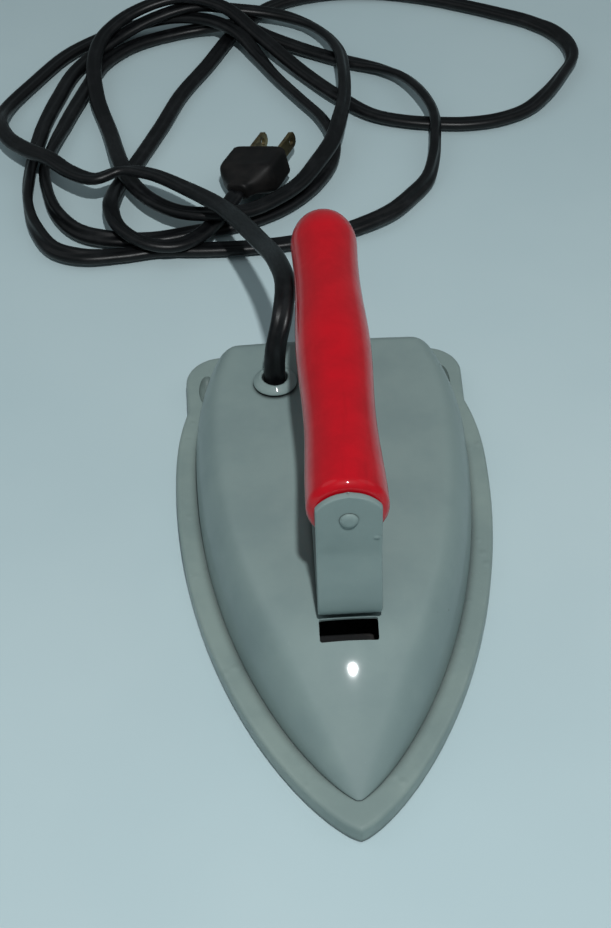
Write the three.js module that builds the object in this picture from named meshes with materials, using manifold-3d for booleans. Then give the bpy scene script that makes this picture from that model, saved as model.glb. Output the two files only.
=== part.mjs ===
// Electric waxing iron: cast sole plate, pressed steel cover, strap-mounted wooden grip,
// mica-insulated ribbon element and a flat two-core lead with a two-blade plug.
// Millimetres, +Z up, the nose points to -Y, the sole's underside is z = 0.
import * as THREE from 'three';
import { mergeVertices } from 'three/addons/utils/BufferGeometryUtils.js';
import Module from 'manifold-3d';

const wasm = await Module();
wasm.setup();

// ---------------------------------------------------------------- driving dimensions
const GAP = 0.3;                    // clearance kept between touching pieces

const SOLE_LENGTH = 190;            // nose tip to rear edge
const NOSE_Y = -SOLE_LENGTH / 2;    // stations below are distances back from the nose tip
const SOLE_HALF_WIDTH = 50;
const WIDEST_STATION = 135;
const NECK_STATION = 163;           // where the sides pinch in ahead of the heel lugs
const NECK_HALF_WIDTH = 46.4;
const LUG_HALF_WIDTH = 46.9;
const LUG_RADIUS = 12;
const LIP_THICKNESS = 6.5;
const LIP_BEVEL = 0.8;
const HOLLOW_X = 39.8;              // leaf-shaped hollows between the cover's corners and the lugs
const HOLLOW_RADIUS = 3;

const PLATFORM_TOP = 10;            // raised land under the element
const PLATFORM_FRONT = 26;
const PLATFORM_REAR = 166;
const PLATFORM_HALF_WIDTH = 38;

const COVER_FRONT = 8.6;
const COVER_REAR = 172;
const COVER_HALF_WIDTH = 43.2;
const COVER_REAR_TAPER = 4.6;       // loss of half width from the widest station to the neck
const COVER_CORNER = 9;
const COVER_FOOT = LIP_THICKNESS + GAP;
const COVER_TOP = 34;
const COVER_WALL = 0.9;
const NOSE_SLOPE = 0.66;            // rise per millimetre of the ridge behind the nose
const SHOULDER_RUN = 13;
const CREST_SOFTNESS = 4;
const CROWN = { front: 0.17, rear: 0.03, from: 40, to: 100 };   // sideways fall, as a share of the height

const WINDOW_WIDTH = 16.3;          // rectangular opening in front of the strap
const WINDOW_FRONT = 45.1;
const WINDOW_REAR = 51.4;

const HANDLE_X = 0.5;               // the grip and strap sit a little to the right
const HANDLE_AXIS = 70;             // height of the grip's axis
const HANDLE_FRONT = 54.7;
const HANDLE_LENGTH = 124;
const HANDLE_RADIUS = 10.5;         // between a waist and a swell
const HANDLE_WAVE = 0.5;
const HANDLE_TAPER = 0.45;          // loss of radius towards the rear end
const DOME_START = 0.9;             // share of the length where the rear dome begins
const GRIP_EDGE = 2.6;
const HANDLE_BORE = 5;
const HANDLE_BORE_DEPTH = 48;

const STRAP_THICKNESS = 2;
const STRAP_WIDTH = 17.6;
const STRAP_FACE = 53.4;            // station of the upright part's middle plane
const STRAP_FOOT_REAR = 106;
const ARCH_DROP = 2;                // centre of the strap's round top, below the grip's axis
const ARCH_SPRING = 3.6;            // start of the round top, above the grip's axis
const SCREW_HEAD = 5.1;
const SCREW_HEAD_RISE = 1.5;
const SCREW_HOLE = HANDLE_BORE / 2 + GAP;

const STUD_RADIUS = 3;
const TALL_STUDS = { front: 74, rear: 96 };
const SHORT_STUD = 148;
const NUT_FLATS = 10;
const NUT_HEIGHT = 5;
const STUD_BOTTOM = 4;
const STUD_SEAT = 3.5;
const STUD_END = 1.5;               // thread left above a nut
const WASHER_RADIUS = 6;
const WASHER_THICKNESS = 1;

const MICA_THICKNESS = 0.5;
const RIBBON_THICKNESS = 0.4;
const PLATE_THICKNESS = 3;
const RIBBON_WIDTH = 2.4;
const RIBBON_PITCH = 5.6;
const RIBBON_FRONT = 50;
const RIBBON_REAR = 110;
const RIBBON_INNER = 6.5;           // nearest that the runs come to the studs
const RIBBON_MARGIN = 6;

const TAB_X = 7;                    // brass tabs at the element's two ends
const TAB_WIDTH = 4;
const TAB_THICKNESS = 0.8;
const TAB_STATION = 115;
const BLOCK_STATION = 122;
const BLOCK_WIDTH = 24;
const BLOCK_LENGTH = 7;
const BLOCK_HEIGHT = 8;
const TERMINAL_HOLE = 1.8;
const CLAMP_HEIGHT = 3.2;           // the inner lead's axis above the pressure plate
const CLAMP_OFFSET = 7.5;           // the clamp's distance ahead of the collar
const CLAMP_SCREW_X = 5.4;

// Levels of the stack, bottom to top.
const MICA_LOWER = PLATFORM_TOP + GAP;
const RIBBON_BOTTOM = MICA_LOWER + MICA_THICKNESS + GAP;
const RIBBON_TOP = RIBBON_BOTTOM + RIBBON_THICKNESS;
const MICA_UPPER = RIBBON_TOP + GAP;
const PLATE_BOTTOM = MICA_UPPER + MICA_THICKNESS + GAP;
const PLATE_TOP = PLATE_BOTTOM + PLATE_THICKNESS;
const BLOCK_BOTTOM = PLATE_TOP + GAP;
const BLOCK_TOP = BLOCK_BOTTOM + BLOCK_HEIGHT;
const FOOT_BOTTOM = COVER_TOP + GAP;
const FOOT_TOP = FOOT_BOTTOM + STRAP_THICKNESS;
const FOOT_MIDDLE = (FOOT_BOTTOM + FOOT_TOP) / 2;

// Side profile of the strap's middle plane: stations and heights.
const STRAP_LINE = [
  [STRAP_FACE, 82], [STRAP_FACE, 61], [53.3, 56], [52.4, 51], [51.2, 46], [50.4, 41.5], [50.2, 38],
  [50.6, 35.9], [51.9, 34.6], [54.2, 34.2], [58, 34.65], [64, 35.15], [72, FOOT_MIDDLE],
  [STRAP_FOOT_REAR, FOOT_MIDDLE],
];

const COLLAR = new THREE.Vector2(-16.6, 145);   // cord bushing: x and station
const COLLAR_RADIUS = 6.85;
const COLLAR_BORE = 3.9;
const COLLAR_NECK = 5.2;            // radius of the part that passes through the cover
const COLLAR_NUT_FLATS = 14;
const COLLAR_NUT_HEIGHT = 3;

const CORD_THICKNESS = 3.8;         // the flat lead is 6.6 wide and 3.8 thick
const CORD_START = 29;              // the free lead begins inside the collar's bore
// The plug lies tipped on one long edge: x, y and lift place the lead's entry, turn is the plan
// angle and roll is the tip about its own length.
const PLUG = { x: -27.5, y: 186.5, lift: 8.9, turn: -0.45, roll: -0.24, width: 24, length: 24, height: 13 };
const PLUG_ENTRY = 4.4;             // half width at the lead's entry
const PLUG_BEVEL = 1.5;
const BLADE = {
  width: 6.35, thickness: 1.5, length: 17, spacing: 12.7, socket: 8, chamfer: 1.6, hole: 1.5,
};

// Route of the lead's centre line, from the collar to just before the plug.
const CORD_ROUTE = [
  [-16.6, 50, CORD_START], [-16.6, 50, 38], [-16, 51.5, 47], [-13.5, 57, 55], [-12, 69, 58],
  [-14, 86, 54], [-19, 112, 42], [-27, 140, 31], [-34, 160, 23], [-46, 178, 18], [-61, 192, 16],
  [-72, 196, 15], [-82, 193, 14], [-92, 200, 13], [-101, 210, 13], [-110, 219, 11], [-119, 231, 9],
  [-124, 246, 7], [-123, 260, 4], [-113, 281, 3], [-100, 302, 3], [-87, 314, 3], [-70, 321, 5],
  [-52, 321, 8], [-36, 315, 9], [-24, 304, 8], [-17, 292, 5], [-10, 277, 4], [0, 258, 4],
  [8, 243, 4], [12, 228, 4], [10, 212, 4], [2, 196, 4], [-10, 184, 3], [-26, 175, 3],
  [-44, 171, 3], [-60, 168, 3], [-76, 168, 4], [-88, 173, 4], [-97, 185, 4], [-102, 201, 4],
  [-104, 217, 4], [-101, 235, 3], [-96, 255, 3], [-90, 275, 3], [-84, 293, 3], [-72, 307, 3],
  [-56, 315, 3], [-39, 318, 4], [-24, 312, 8], [-10, 305, 5], [6, 296, 3], [22, 286, 3],
  [34, 280, 3], [44, 269, 5], [51, 252, 7], [54, 237, 7], [53, 222, 6], [51, 209, 5], [47, 196, 4],
  [40, 186, 4], [32, 177, 4], [23, 171, 4], [10, 166, 3], [-5, 162, 3], [-22, 160, 3],
  [-40, 160, 3], [-57, 161, 3], [-72, 159, 3], [-86, 158, 4], [-97, 163, 4], [-105, 177, 4],
  [-109, 193, 4], [-110, 210, 4], [-109, 227, 3], [-107, 246, 3], [-102, 268, 3], [-95, 290, 3],
  [-80, 307, 6], [-63, 317, 10], [-44, 323, 12], [-26, 326, 8], [-9, 324, 6], [3, 318, 5],
  [12, 306, 6], [18, 288, 8], [19, 270, 9], [18, 250, 9], [15, 233, 10], [11, 217, 10],
  [5, 204, 10], [-3, 191, 9], [-12, 182, 9], [-23, 175, 9], [-37, 171, 11], [-50, 175, 10],
  [-61, 185, 9], [-69, 199, 8], [-73, 211, 8], [-79, 240, 4], [-85, 264, 5], [-87, 288, 8],
  [-83, 306, 10], [-70, 319, 13], [-50, 324, 16], [-31, 318, 14], [-16, 303, 8], [2, 278, 4],
  [16, 258, 4], [29, 245, 3], [42, 239, 3], [56, 236, 3], [68, 235, 3], [81, 237, 3], [93, 243, 3],
  [102, 252, 4], [111, 266, 4], [118, 280, 4], [117, 293, 4], [111, 305, 3], [103, 313, 3],
  [92, 320, 3], [80, 327, 3], [60, 337, 3], [36, 344, 3], [12, 344, 3], [-9, 336, 3],
  [-25, 317, 3], [-39, 288, 3], [-50, 266, 3], [-58, 243, 3], [-68, 217, 3], [-75, 197, 5],
  [-76, 182, 8], [-72, 168, 9], [-62, 159, 8], [-51, 158, 7], [-42, 163.5, 7], [-34.2, 174.2, 7.6],
  [-30, 182, 8.3],
];

// ---------------------------------------------------------------- materials
const finish = (color, roughness, metalness) => () =>
  new THREE.MeshStandardMaterial({ color, roughness, metalness });
const greyEnamel = finish(0x73878b, 0.35, 0.1);
const castEnamel = finish(0x76847f, 0.5, 0.1);
const redLacquer = finish(0xb8051a, 0.2, 0);
const blackRubber = finish(0x14161a, 0.45, 0);
const brass = finish(0xb89a55, 0.35, 1);
const platedSteel = finish(0xa9adb0, 0.35, 1);
const bareSteel = finish(0x6d6f70, 0.5, 1);
const micaSheet = finish(0xc9b48a, 0.4, 0);
const nichrome = finish(0x8a8178, 0.4, 1);
const steatite = finish(0xe6dfcf, 0.6, 0);
const glassSleeve = finish(0xd9d2bd, 0.9, 0);

// ---------------------------------------------------------------- helpers
const object = new THREE.Group();
const yAt = (station) => NOSE_Y + station;

function add(name, geometry, material, x = 0, y = 0, z = 0) {
  const mesh = new THREE.Mesh(geometry, material());
  mesh.name = name;
  mesh.position.set(x, y, z);
  object.add(mesh);
  return mesh;
}

// Shared vertices merged and collapsed triangles dropped, so that the mesh is one closed skin.
function closed(geometry) {
  const bare = geometry.clone();
  bare.deleteAttribute('normal');
  bare.deleteAttribute('uv');
  const merged = mergeVertices(bare, 1e-3);
  const kept = [];
  const index = merged.index.array;
  for (let i = 0; i < index.length; i += 3) {
    const [a, b, c] = [index[i], index[i + 1], index[i + 2]];
    if (a !== b && b !== c && c !== a) kept.push(a, b, c);
  }
  merged.setIndex(kept);
  return merged;
}

function toSolid(geometry) {
  const skin = closed(geometry);
  return new wasm.Manifold(new wasm.Mesh({
    numProp: 3,
    vertProperties: new Float32Array(skin.attributes.position.array),
    triVerts: new Uint32Array(skin.index.array),
  }));
}

function toGeometry(solid) {
  const mesh = solid.getMesh();
  const geometry = new THREE.BufferGeometry();
  geometry.setAttribute('position', new THREE.BufferAttribute(new Float32Array(mesh.vertProperties), 3));
  geometry.setIndex(new THREE.BufferAttribute(new Uint32Array(mesh.triVerts), 1));
  geometry.computeVertexNormals();
  return geometry;
}

const cut = (base, ...tools) =>
  toGeometry(tools.reduce((solid, tool) => solid.subtract(toSolid(tool)), toSolid(base)));

// Closed outline through the right-hand points and their mirror images.
function mirroredShape(right) {
  const left = right.filter((p) => p.x > 1e-6).map((p) => new THREE.Vector2(-p.x, p.y)).reverse();
  return new THREE.Shape([...right, ...left]);
}

function slab(shape, bottom, top) {
  const depth = top - bottom;
  return new THREE.ExtrudeGeometry(shape, { depth, bevelEnabled: false, curveSegments: 12 })
    .translate(0, 0, bottom);
}

const rod = (radius, bottom, top, sides = 20) =>
  new THREE.CylinderGeometry(radius, radius, top - bottom, sides)
    .rotateX(Math.PI / 2).translate(0, 0, (top + bottom) / 2);

const box = (width, length, bottom, top) =>
  new THREE.BoxGeometry(width, length, top - bottom).translate(0, 0, (top + bottom) / 2);

const lathe = (profile, sides = 28) =>
  closed(new THREE.LatheGeometry(profile.map(([r, h]) => new THREE.Vector2(r, h)), sides));

const upright = (geometry) => geometry.rotateX(Math.PI / 2);

function hexNut(flats, bottom, top, bore) {
  const body = new THREE.CylinderGeometry(flats / Math.sqrt(3), flats / Math.sqrt(3), top - bottom, 6)
    .rotateX(Math.PI / 2).translate(0, 0, (top + bottom) / 2);
  return cut(body, rod(bore, bottom - 1, top + 1));
}

// Constant-width band along a polyline, mitred at the corners.
function band(line, width) {
  const side = (sign) => line.map((point, i) => {
    const before = line[Math.max(i - 1, 0)];
    const after = line[Math.min(i + 1, line.length - 1)];
    const a = point.clone().sub(before);
    const b = after.clone().sub(point);
    const dirA = (i === 0 ? b : a).clone().normalize();
    const dirB = (i === line.length - 1 ? a : b).clone().normalize();
    const normal = new THREE.Vector2(-dirA.y - dirB.y, dirA.x + dirB.x).normalize();
    const stretch = 1 / Math.max(0.5, normal.dot(new THREE.Vector2(-dirA.y, dirA.x)));
    return point.clone().addScaledVector(normal, sign * stretch * width / 2);
  });
  return new THREE.Shape([...side(1), ...side(-1).reverse()]);
}

// A profile drawn as (y, z), extruded along X and centred on x = 0.
function alongX(profile, width) {
  const turn = new THREE.Matrix4().makeBasis(
    new THREE.Vector3(0, 1, 0), new THREE.Vector3(0, 0, 1), new THREE.Vector3(1, 0, 0));
  return new THREE.ExtrudeGeometry(profile, { depth: width, bevelEnabled: false, curveSegments: 10 })
    .translate(0, 0, -width / 2).applyMatrix4(turn);
}

function roundSection(radius, sides) {
  const corners = [];
  for (let i = 0; i < sides; i += 1) {
    const angle = (i / sides) * 2 * Math.PI;
    corners.push(new THREE.Vector2(radius * Math.cos(angle), radius * Math.sin(angle)));
  }
  return new THREE.Shape(corners);
}

function tube(points, radius, sides, steps) {
  const path = new THREE.CatmullRomCurve3(points.map((p) => new THREE.Vector3(...p)), false, 'centripetal');
  return closed(new THREE.ExtrudeGeometry(roundSection(radius, sides), { steps, extrudePath: path }));
}

// ---------------------------------------------------------------- outlines
// Half width of a pointed iron outline at a distance from its tip.
function pointedHalfWidth(distance, length, halfWidth, fullness) {
  const left = 1 - Math.min(distance / length, 1);
  return halfWidth * (1 - left ** 2.1) ** fullness;
}

function soleHalfWidth(station) {
  if (station <= WIDEST_STATION) return pointedHalfWidth(station, WIDEST_STATION, SOLE_HALF_WIDTH, 0.75);
  const back = (station - WIDEST_STATION) / (NECK_STATION - WIDEST_STATION);
  return SOLE_HALF_WIDTH - (SOLE_HALF_WIDTH - NECK_HALF_WIDTH) * back ** 2.2;
}

function soleOutline() {
  const right = [new THREE.Vector2(0, NOSE_Y)];
  for (const station of [0.6, 2, 5, 10, 17, 26, 37, 50, 64, 80, 96, 112, 124, 135, 145, 154, NECK_STATION]) {
    right.push(new THREE.Vector2(soleHalfWidth(station), yAt(station)));
  }
  const centre = new THREE.Vector2(LUG_HALF_WIDTH - LUG_RADIUS, yAt(SOLE_LENGTH - LUG_RADIUS));
  for (let i = 0; i <= 8; i += 1) {
    const angle = (i / 8) * (Math.PI / 2);
    const spoke = new THREE.Vector2(Math.cos(angle), Math.sin(angle)).multiplyScalar(LUG_RADIUS);
    right.push(spoke.add(centre));
  }
  return mirroredShape(right);
}

// Flat outline of the land, and of the sheets and plate stacked on it.
function stackOutline(inset) {
  const front = PLATFORM_FRONT + inset;
  const rear = PLATFORM_REAR - inset;
  const half = PLATFORM_HALF_WIDTH - inset;
  const right = [];
  for (const part of [0.01, 0.05, 0.12, 0.22, 0.35, 0.5, 0.7, 1]) {
    const distance = part * (WIDEST_STATION - front);
    right.push(new THREE.Vector2(
      pointedHalfWidth(distance, WIDEST_STATION - front, half, 0.78), yAt(front + distance)));
  }
  right.push(new THREE.Vector2(half - 2, yAt(rear - 4)));
  right.push(new THREE.Vector2(half - 6, yAt(rear)));
  return mirroredShape(right);
}

// ---------------------------------------------------------------- sole casting and element
const studSeats = [TALL_STUDS.front, TALL_STUDS.rear, SHORT_STUD];

function soleCasting() {
  const lip = new THREE.ExtrudeGeometry(soleOutline(), {
    depth: LIP_THICKNESS - 2 * LIP_BEVEL,
    bevelThickness: LIP_BEVEL,
    bevelSize: LIP_BEVEL,
    bevelOffset: -LIP_BEVEL,
    bevelSegments: 2,
  }).translate(0, 0, LIP_BEVEL);
  let solid = toSolid(lip).add(toSolid(slab(stackOutline(0), LIP_THICKNESS - 1, PLATFORM_TOP)));
  for (const station of studSeats) {
    const seat = rod(STUD_RADIUS + GAP, STUD_SEAT, PLATFORM_TOP + 1).translate(0, yAt(station), 0);
    solid = solid.subtract(toSolid(seat));
  }
  for (const side of [-1, 1]) {
    const hollow = new THREE.SphereGeometry(HOLLOW_RADIUS, 14, 10).scale(0.9, 2.4, 1.1)
      .translate(side * HOLLOW_X, yAt(COVER_REAR + 1), LIP_THICKNESS);
    solid = solid.subtract(toSolid(hollow));
  }
  return toGeometry(solid);
}

function stackSheet(inset, bottom, top, tabSlots) {
  const tools = studSeats
    .map((station) => rod(STUD_RADIUS + GAP, bottom - 1, top + 1).translate(0, yAt(station), 0));
  for (const x of tabSlots ? [-TAB_X, TAB_X] : []) {
    tools.push(box(TAB_WIDTH + 2, 4, bottom - 1, top + 1).translate(x, yAt(TAB_STATION), 0));
  }
  return cut(slab(stackOutline(inset), bottom, top), ...tools);
}

// Serpentine ribbon in two banks, one each side of the studs, joined at the nose end.
function ribbonOutline() {
  const runs = Math.floor((RIBBON_REAR - RIBBON_FRONT) / RIBBON_PITCH);
  const reach = (station) => pointedHalfWidth(
    station - PLATFORM_FRONT, WIDEST_STATION - PLATFORM_FRONT, PLATFORM_HALF_WIDTH, 0.78) - RIBBON_MARGIN;
  const line = [new THREE.Vector2(TAB_X, yAt(TAB_STATION))];
  for (let i = 0; i <= runs; i += 1) {
    const station = RIBBON_REAR - i * RIBBON_PITCH;
    const ends = [
      new THREE.Vector2(RIBBON_INNER, yAt(station)),
      new THREE.Vector2(reach(station - 2), yAt(station)),
    ];
    line.push(...(i % 2 === 0 ? ends : ends.reverse()));
  }
  const last = yAt(RIBBON_REAR - runs * RIBBON_PITCH);
  const turn = last - RIBBON_PITCH;
  line.pop();
  line.push(new THREE.Vector2(RIBBON_INNER, last), new THREE.Vector2(RIBBON_INNER, turn));
  return line;
}

function heatingStack() {
  add('sole_casting', soleCasting(), castEnamel);
  add('mica_lower', stackSheet(2, MICA_LOWER, MICA_LOWER + MICA_THICKNESS, false), micaSheet);
  const half = ribbonOutline();
  const mirrored = half.map((p) => new THREE.Vector2(-p.x, p.y)).reverse();
  const ribbon = band([...half, ...mirrored], RIBBON_WIDTH);
  add('heating_ribbon', slab(ribbon, RIBBON_BOTTOM, RIBBON_TOP), nichrome);
  add('mica_upper', stackSheet(2, MICA_UPPER, MICA_UPPER + MICA_THICKNESS, true), micaSheet);
  add('pressure_plate', stackSheet(3, PLATE_BOTTOM, PLATE_TOP, true), bareSteel);
}

// ---------------------------------------------------------------- studs and nuts
function studsAndNuts() {
  const bore = STUD_RADIUS + GAP;
  const washer = (bottom) => cut(
    rod(WASHER_RADIUS, bottom, bottom + WASHER_THICKNESS),
    rod(bore, bottom - 1, bottom + WASHER_THICKNESS + 1),
  );
  const nut = (bottom) => hexNut(NUT_FLATS, bottom, bottom + NUT_HEIGHT, bore);
  const stud = (nutBottom) => rod(STUD_RADIUS, STUD_BOTTOM, nutBottom + NUT_HEIGHT + STUD_END);
  const plateNut = PLATE_TOP + GAP;
  const coverWasher = FOOT_TOP + GAP;
  const coverNut = coverWasher + WASHER_THICKNESS + GAP;
  for (const [name, station] of Object.entries(TALL_STUDS)) {
    const y = yAt(station);
    add(`stud_${name}`, stud(coverNut), platedSteel, 0, y);
    add(`plate_nut_${name}`, nut(plateNut), platedSteel, 0, y);
    add(`cover_washer_${name}`, washer(coverWasher), platedSteel, 0, y);
    add(`cover_nut_${name}`, nut(coverNut), platedSteel, 0, y);
  }
  add('stud_short', stud(plateNut), platedSteel, 0, yAt(SHORT_STUD));
  add('plate_nut_short', nut(plateNut), platedSteel, 0, yAt(SHORT_STUD));
}

// ---------------------------------------------------------------- terminals and inner leads
// The tab rises from the ribbon's end through the plate, then lies on top of the block.
function tabProfile(screwY) {
  const front = yAt(TAB_STATION) - TAB_THICKNESS / 2;
  const rear = screwY + BLOCK_LENGTH / 2;
  const low = BLOCK_TOP + GAP;
  return new THREE.Shape([
    new THREE.Vector2(front, RIBBON_TOP + GAP),
    new THREE.Vector2(front + TAB_THICKNESS, RIBBON_TOP + GAP),
    new THREE.Vector2(front + TAB_THICKNESS, low),
    new THREE.Vector2(rear, low),
    new THREE.Vector2(rear, low + TAB_THICKNESS),
    new THREE.Vector2(front, low + TAB_THICKNESS),
  ]);
}

function terminals() {
  const screwY = yAt(BLOCK_STATION);
  const hole = (bottom, side) =>
    rod(TERMINAL_HOLE, bottom, BLOCK_TOP + 3, 16).translate(side * TAB_X, screwY, 0);
  const block = box(BLOCK_WIDTH, BLOCK_LENGTH, BLOCK_BOTTOM, BLOCK_TOP).translate(0, screwY, 0);
  add('terminal_block', cut(block, hole(BLOCK_BOTTOM + 2, -1), hole(BLOCK_BOTTOM + 2, 1)), steatite);
  const head = BLOCK_TOP + TAB_THICKNESS + 2 * GAP;
  const screw = [
    [0, BLOCK_BOTTOM + 2.5], [1.5, BLOCK_BOTTOM + 2.5], [1.5, head], [2.9, head], [2.9, head + 1],
    [1.6, head + 1.8], [0, head + 1.8],
  ];
  for (const [name, side] of [['left', -1], ['right', 1]]) {
    const tab = alongX(tabProfile(screwY), TAB_WIDTH).translate(side * TAB_X, 0, 0);
    add(`element_tab_${name}`, cut(tab, hole(BLOCK_TOP - 1, side)), brass);
    add(`terminal_screw_${name}`, upright(lathe(screw, 16)), brass, side * TAB_X, screwY);
  }
}

function innerWiring() {
  const x = COLLAR.x;
  const y = yAt(COLLAR.y);
  const clampZ = BLOCK_BOTTOM + CLAMP_HEIGHT;
  const clampY = y - CLAMP_OFFSET;
  const tail = [
    [x, y, CORD_START - GAP], [x, y, 26], [x, y - 1, 23], [x, y - 4.5, clampZ + 0.1],
    [x, clampY, clampZ], [x, y - 10, clampZ],
  ];
  add('inner_cord', tube(tail, CORD_THICKNESS / 2, 10, 10), blackRubber);
  const groove = rod(2.5, -4, 4, 16).rotateX(Math.PI / 2).translate(0, 0, clampZ);
  add('cord_clamp', cut(box(16, 5, BLOCK_BOTTOM, clampZ + 3.6), groove), bareSteel, x, clampY);
  const head = clampZ + 3.9;
  const screw = [[0, head], [2.2, head], [2.2, head + 0.7], [1.2, head + 1.5], [0, head + 1.5]];
  const tabMiddle = BLOCK_TOP + GAP + TAB_THICKNESS / 2;
  const tabEnd = yAt(BLOCK_STATION) + BLOCK_LENGTH / 2 + GAP;
  for (const [name, side] of [['left', -1], ['right', 1]]) {
    add(`clamp_screw_${name}`, upright(lathe(screw, 14)), platedSteel, x + side * CLAMP_SCREW_X, clampY);
    const run = [
      [x + side * 1.2, y - 10.6, clampZ], [x + side * 1.2, y - 11.6, clampZ],
      [x + 1 + side * 3, y - 15 + side * 2.2, clampZ + 1],
      [side * TAB_X - 2, tabEnd + 4.2 + side * 1.7, tabMiddle - 1.2],
      [side * TAB_X, tabEnd + 1, tabMiddle], [side * TAB_X, tabEnd, tabMiddle],
    ];
    add(`lead_${name}`, tube(run, 1, 8, 14), glassSleeve);
  }
}

// ---------------------------------------------------------------- cover
function coverHalfWidth(station) {
  if (station <= WIDEST_STATION) {
    return pointedHalfWidth(station - COVER_FRONT, WIDEST_STATION - COVER_FRONT, COVER_HALF_WIDTH, 0.78);
  }
  const back = (station - WIDEST_STATION) / (NECK_STATION - WIDEST_STATION);
  return COVER_HALF_WIDTH - COVER_REAR_TAPER * back ** 2;
}

// Slant of the cover's side at a station: sideways distance for each millimetre square to the edge.
function coverLean(station) {
  return Math.hypot(1, (coverHalfWidth(station + 0.1) - coverHalfWidth(station - 0.1)) / 0.2);
}

// Edge of the cover's plan, drawn in by an inset, with rounded rear corners.
function coverEdge(station, inset) {
  const side = coverHalfWidth(station) - inset * coverLean(station);
  const radius = COVER_CORNER - inset;
  const into = station - (COVER_REAR - COVER_CORNER);
  if (into <= 0) return side;
  return side - radius + Math.sqrt(Math.max(0, radius ** 2 - into ** 2));
}

const ridge = (station) => {
  const ramp = COVER_FOOT + NOSE_SLOPE * (station - COVER_FRONT);
  return COVER_TOP - CREST_SOFTNESS * Math.log(1 + Math.exp((COVER_TOP - ramp) / CREST_SOFTNESS));
};

// Sideways crown of the pressed surface: full towards the nose, nearly flat at the rear.
function crownShare(station) {
  const part = Math.min(Math.max((station - CROWN.from) / (CROWN.to - CROWN.from), 0), 1);
  return CROWN.front + (CROWN.rear - CROWN.front) * part * part * (3 - 2 * part);
}

// Height of the pressed surface: an elliptical shoulder all round, under the nose-to-heel ridge.
function coverHeight(x, station, inset) {
  const lean = coverLean(station);
  const middle = coverHalfWidth(station) / lean;
  const fromSide = (coverHalfWidth(station) - Math.abs(x)) / lean - inset;
  const fromRear = COVER_REAR - station - inset;
  const radius = COVER_CORNER - inset;
  const corner = Math.hypot(Math.max(radius - fromSide, 0), Math.max(radius - fromRear, 0));
  const depth = Math.max(radius - corner, 0) + Math.max(Math.min(fromSide, fromRear) - radius, 0);
  const run = SHOULDER_RUN * middle / (middle + SHOULDER_RUN);
  const rest = 1 - Math.min(depth / run, 1);
  const across = Math.min(Math.abs(x) / coverHalfWidth(station), 1);
  const rise = (ridge(station) - COVER_FOOT) * (1 - crownShare(station) * across ** 2) - inset;
  return COVER_FOOT + rise * (1 - rest ** 2.2) ** (1 / 2.2);
}

function coverSkin(inset, front, rows, columns) {
  const rear = COVER_REAR - inset;
  const points = [];
  for (let i = 0; i <= rows; i += 1) {
    const along = (1 - Math.cos(Math.PI * (i / rows))) / 2;
    const station = front + (rear - front) * (0.35 * (i / rows) + 0.65 * along);
    const half = coverEdge(station, inset);
    for (let j = 0; j <= columns; j += 1) {
      const across = Math.sin((j / columns - 0.5) * Math.PI);
      const atEdge = i === 0 || i === rows || j === 0 || j === columns;
      const z = atEdge ? COVER_FOOT : coverHeight(half * across, station, inset);
      points.push([half * across, yAt(station), Math.max(z, COVER_FOOT)]);
    }
  }
  return points;
}

// Outer and inner skins joined by a flat rim at the foot.
function coverShell() {
  const rows = 40;
  const columns = 26;
  const outer = coverSkin(0, COVER_FRONT + 0.25, rows, columns);
  const inner = coverSkin(COVER_WALL, COVER_FRONT + 1.9, rows, columns);
  const offset = outer.length;
  const at = (i, j) => i * (columns + 1) + j;
  const index = [];
  for (let i = 0; i < rows; i += 1) {
    for (let j = 0; j < columns; j += 1) {
      const [a, b, c, d] = [at(i, j), at(i, j + 1), at(i + 1, j + 1), at(i + 1, j)];
      index.push(a, b, c, a, c, d);
      index.push(offset + a, offset + c, offset + b, offset + a, offset + d, offset + c);
    }
  }
  const loop = [];
  for (let j = 0; j < columns; j += 1) loop.push(at(0, j));
  for (let i = 0; i < rows; i += 1) loop.push(at(i, columns));
  for (let j = columns; j > 0; j -= 1) loop.push(at(rows, j));
  for (let i = rows; i > 0; i -= 1) loop.push(at(i, 0));
  loop.forEach((a, k) => {
    const b = loop[(k + 1) % loop.length];
    index.push(a, offset + a, offset + b, a, offset + b, b);
  });
  const geometry = new THREE.BufferGeometry();
  geometry.setAttribute('position', new THREE.Float32BufferAttribute([...outer, ...inner].flat(), 3));
  geometry.setIndex(index);
  return geometry;
}

function cover() {
  const window = box(WINDOW_WIDTH, WINDOW_REAR - WINDOW_FRONT, 20, 40)
    .translate(0, yAt((WINDOW_FRONT + WINDOW_REAR) / 2), 0);
  const collarHole = rod(COLLAR_NECK + GAP, 25, 40, 24).translate(COLLAR.x, yAt(COLLAR.y), 0);
  const studHoles = Object.values(TALL_STUDS)
    .map((station) => rod(STUD_RADIUS + GAP, 25, 40).translate(0, yAt(station), 0));
  add('cover_shell', cut(coverShell(), window, collarHole, ...studHoles), greyEnamel);
}

function bushing() {
  const top = COVER_TOP + GAP;
  const profile = [
    [COLLAR_BORE, CORD_START - 1], [COLLAR_NECK, CORD_START - 1], [COLLAR_NECK, top],
    [COLLAR_RADIUS - 0.3, top], [COLLAR_RADIUS, top + 0.5],
    [COLLAR_RADIUS - 0.4, top + 1.5], [COLLAR_RADIUS - 1.5, top + 2.3],
    [COLLAR_BORE + 0.7, top + 2.7], [COLLAR_BORE, top + 2.2], [COLLAR_BORE, CORD_START - 1],
  ];
  add('cord_bushing', upright(lathe(profile)), greyEnamel, COLLAR.x, yAt(COLLAR.y));
  const under = COVER_TOP - COVER_WALL - GAP;
  const nut = hexNut(COLLAR_NUT_FLATS, under - COLLAR_NUT_HEIGHT, under, COLLAR_NECK + GAP);
  add('bushing_nut', nut, platedSteel, COLLAR.x, yAt(COLLAR.y));
}

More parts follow.
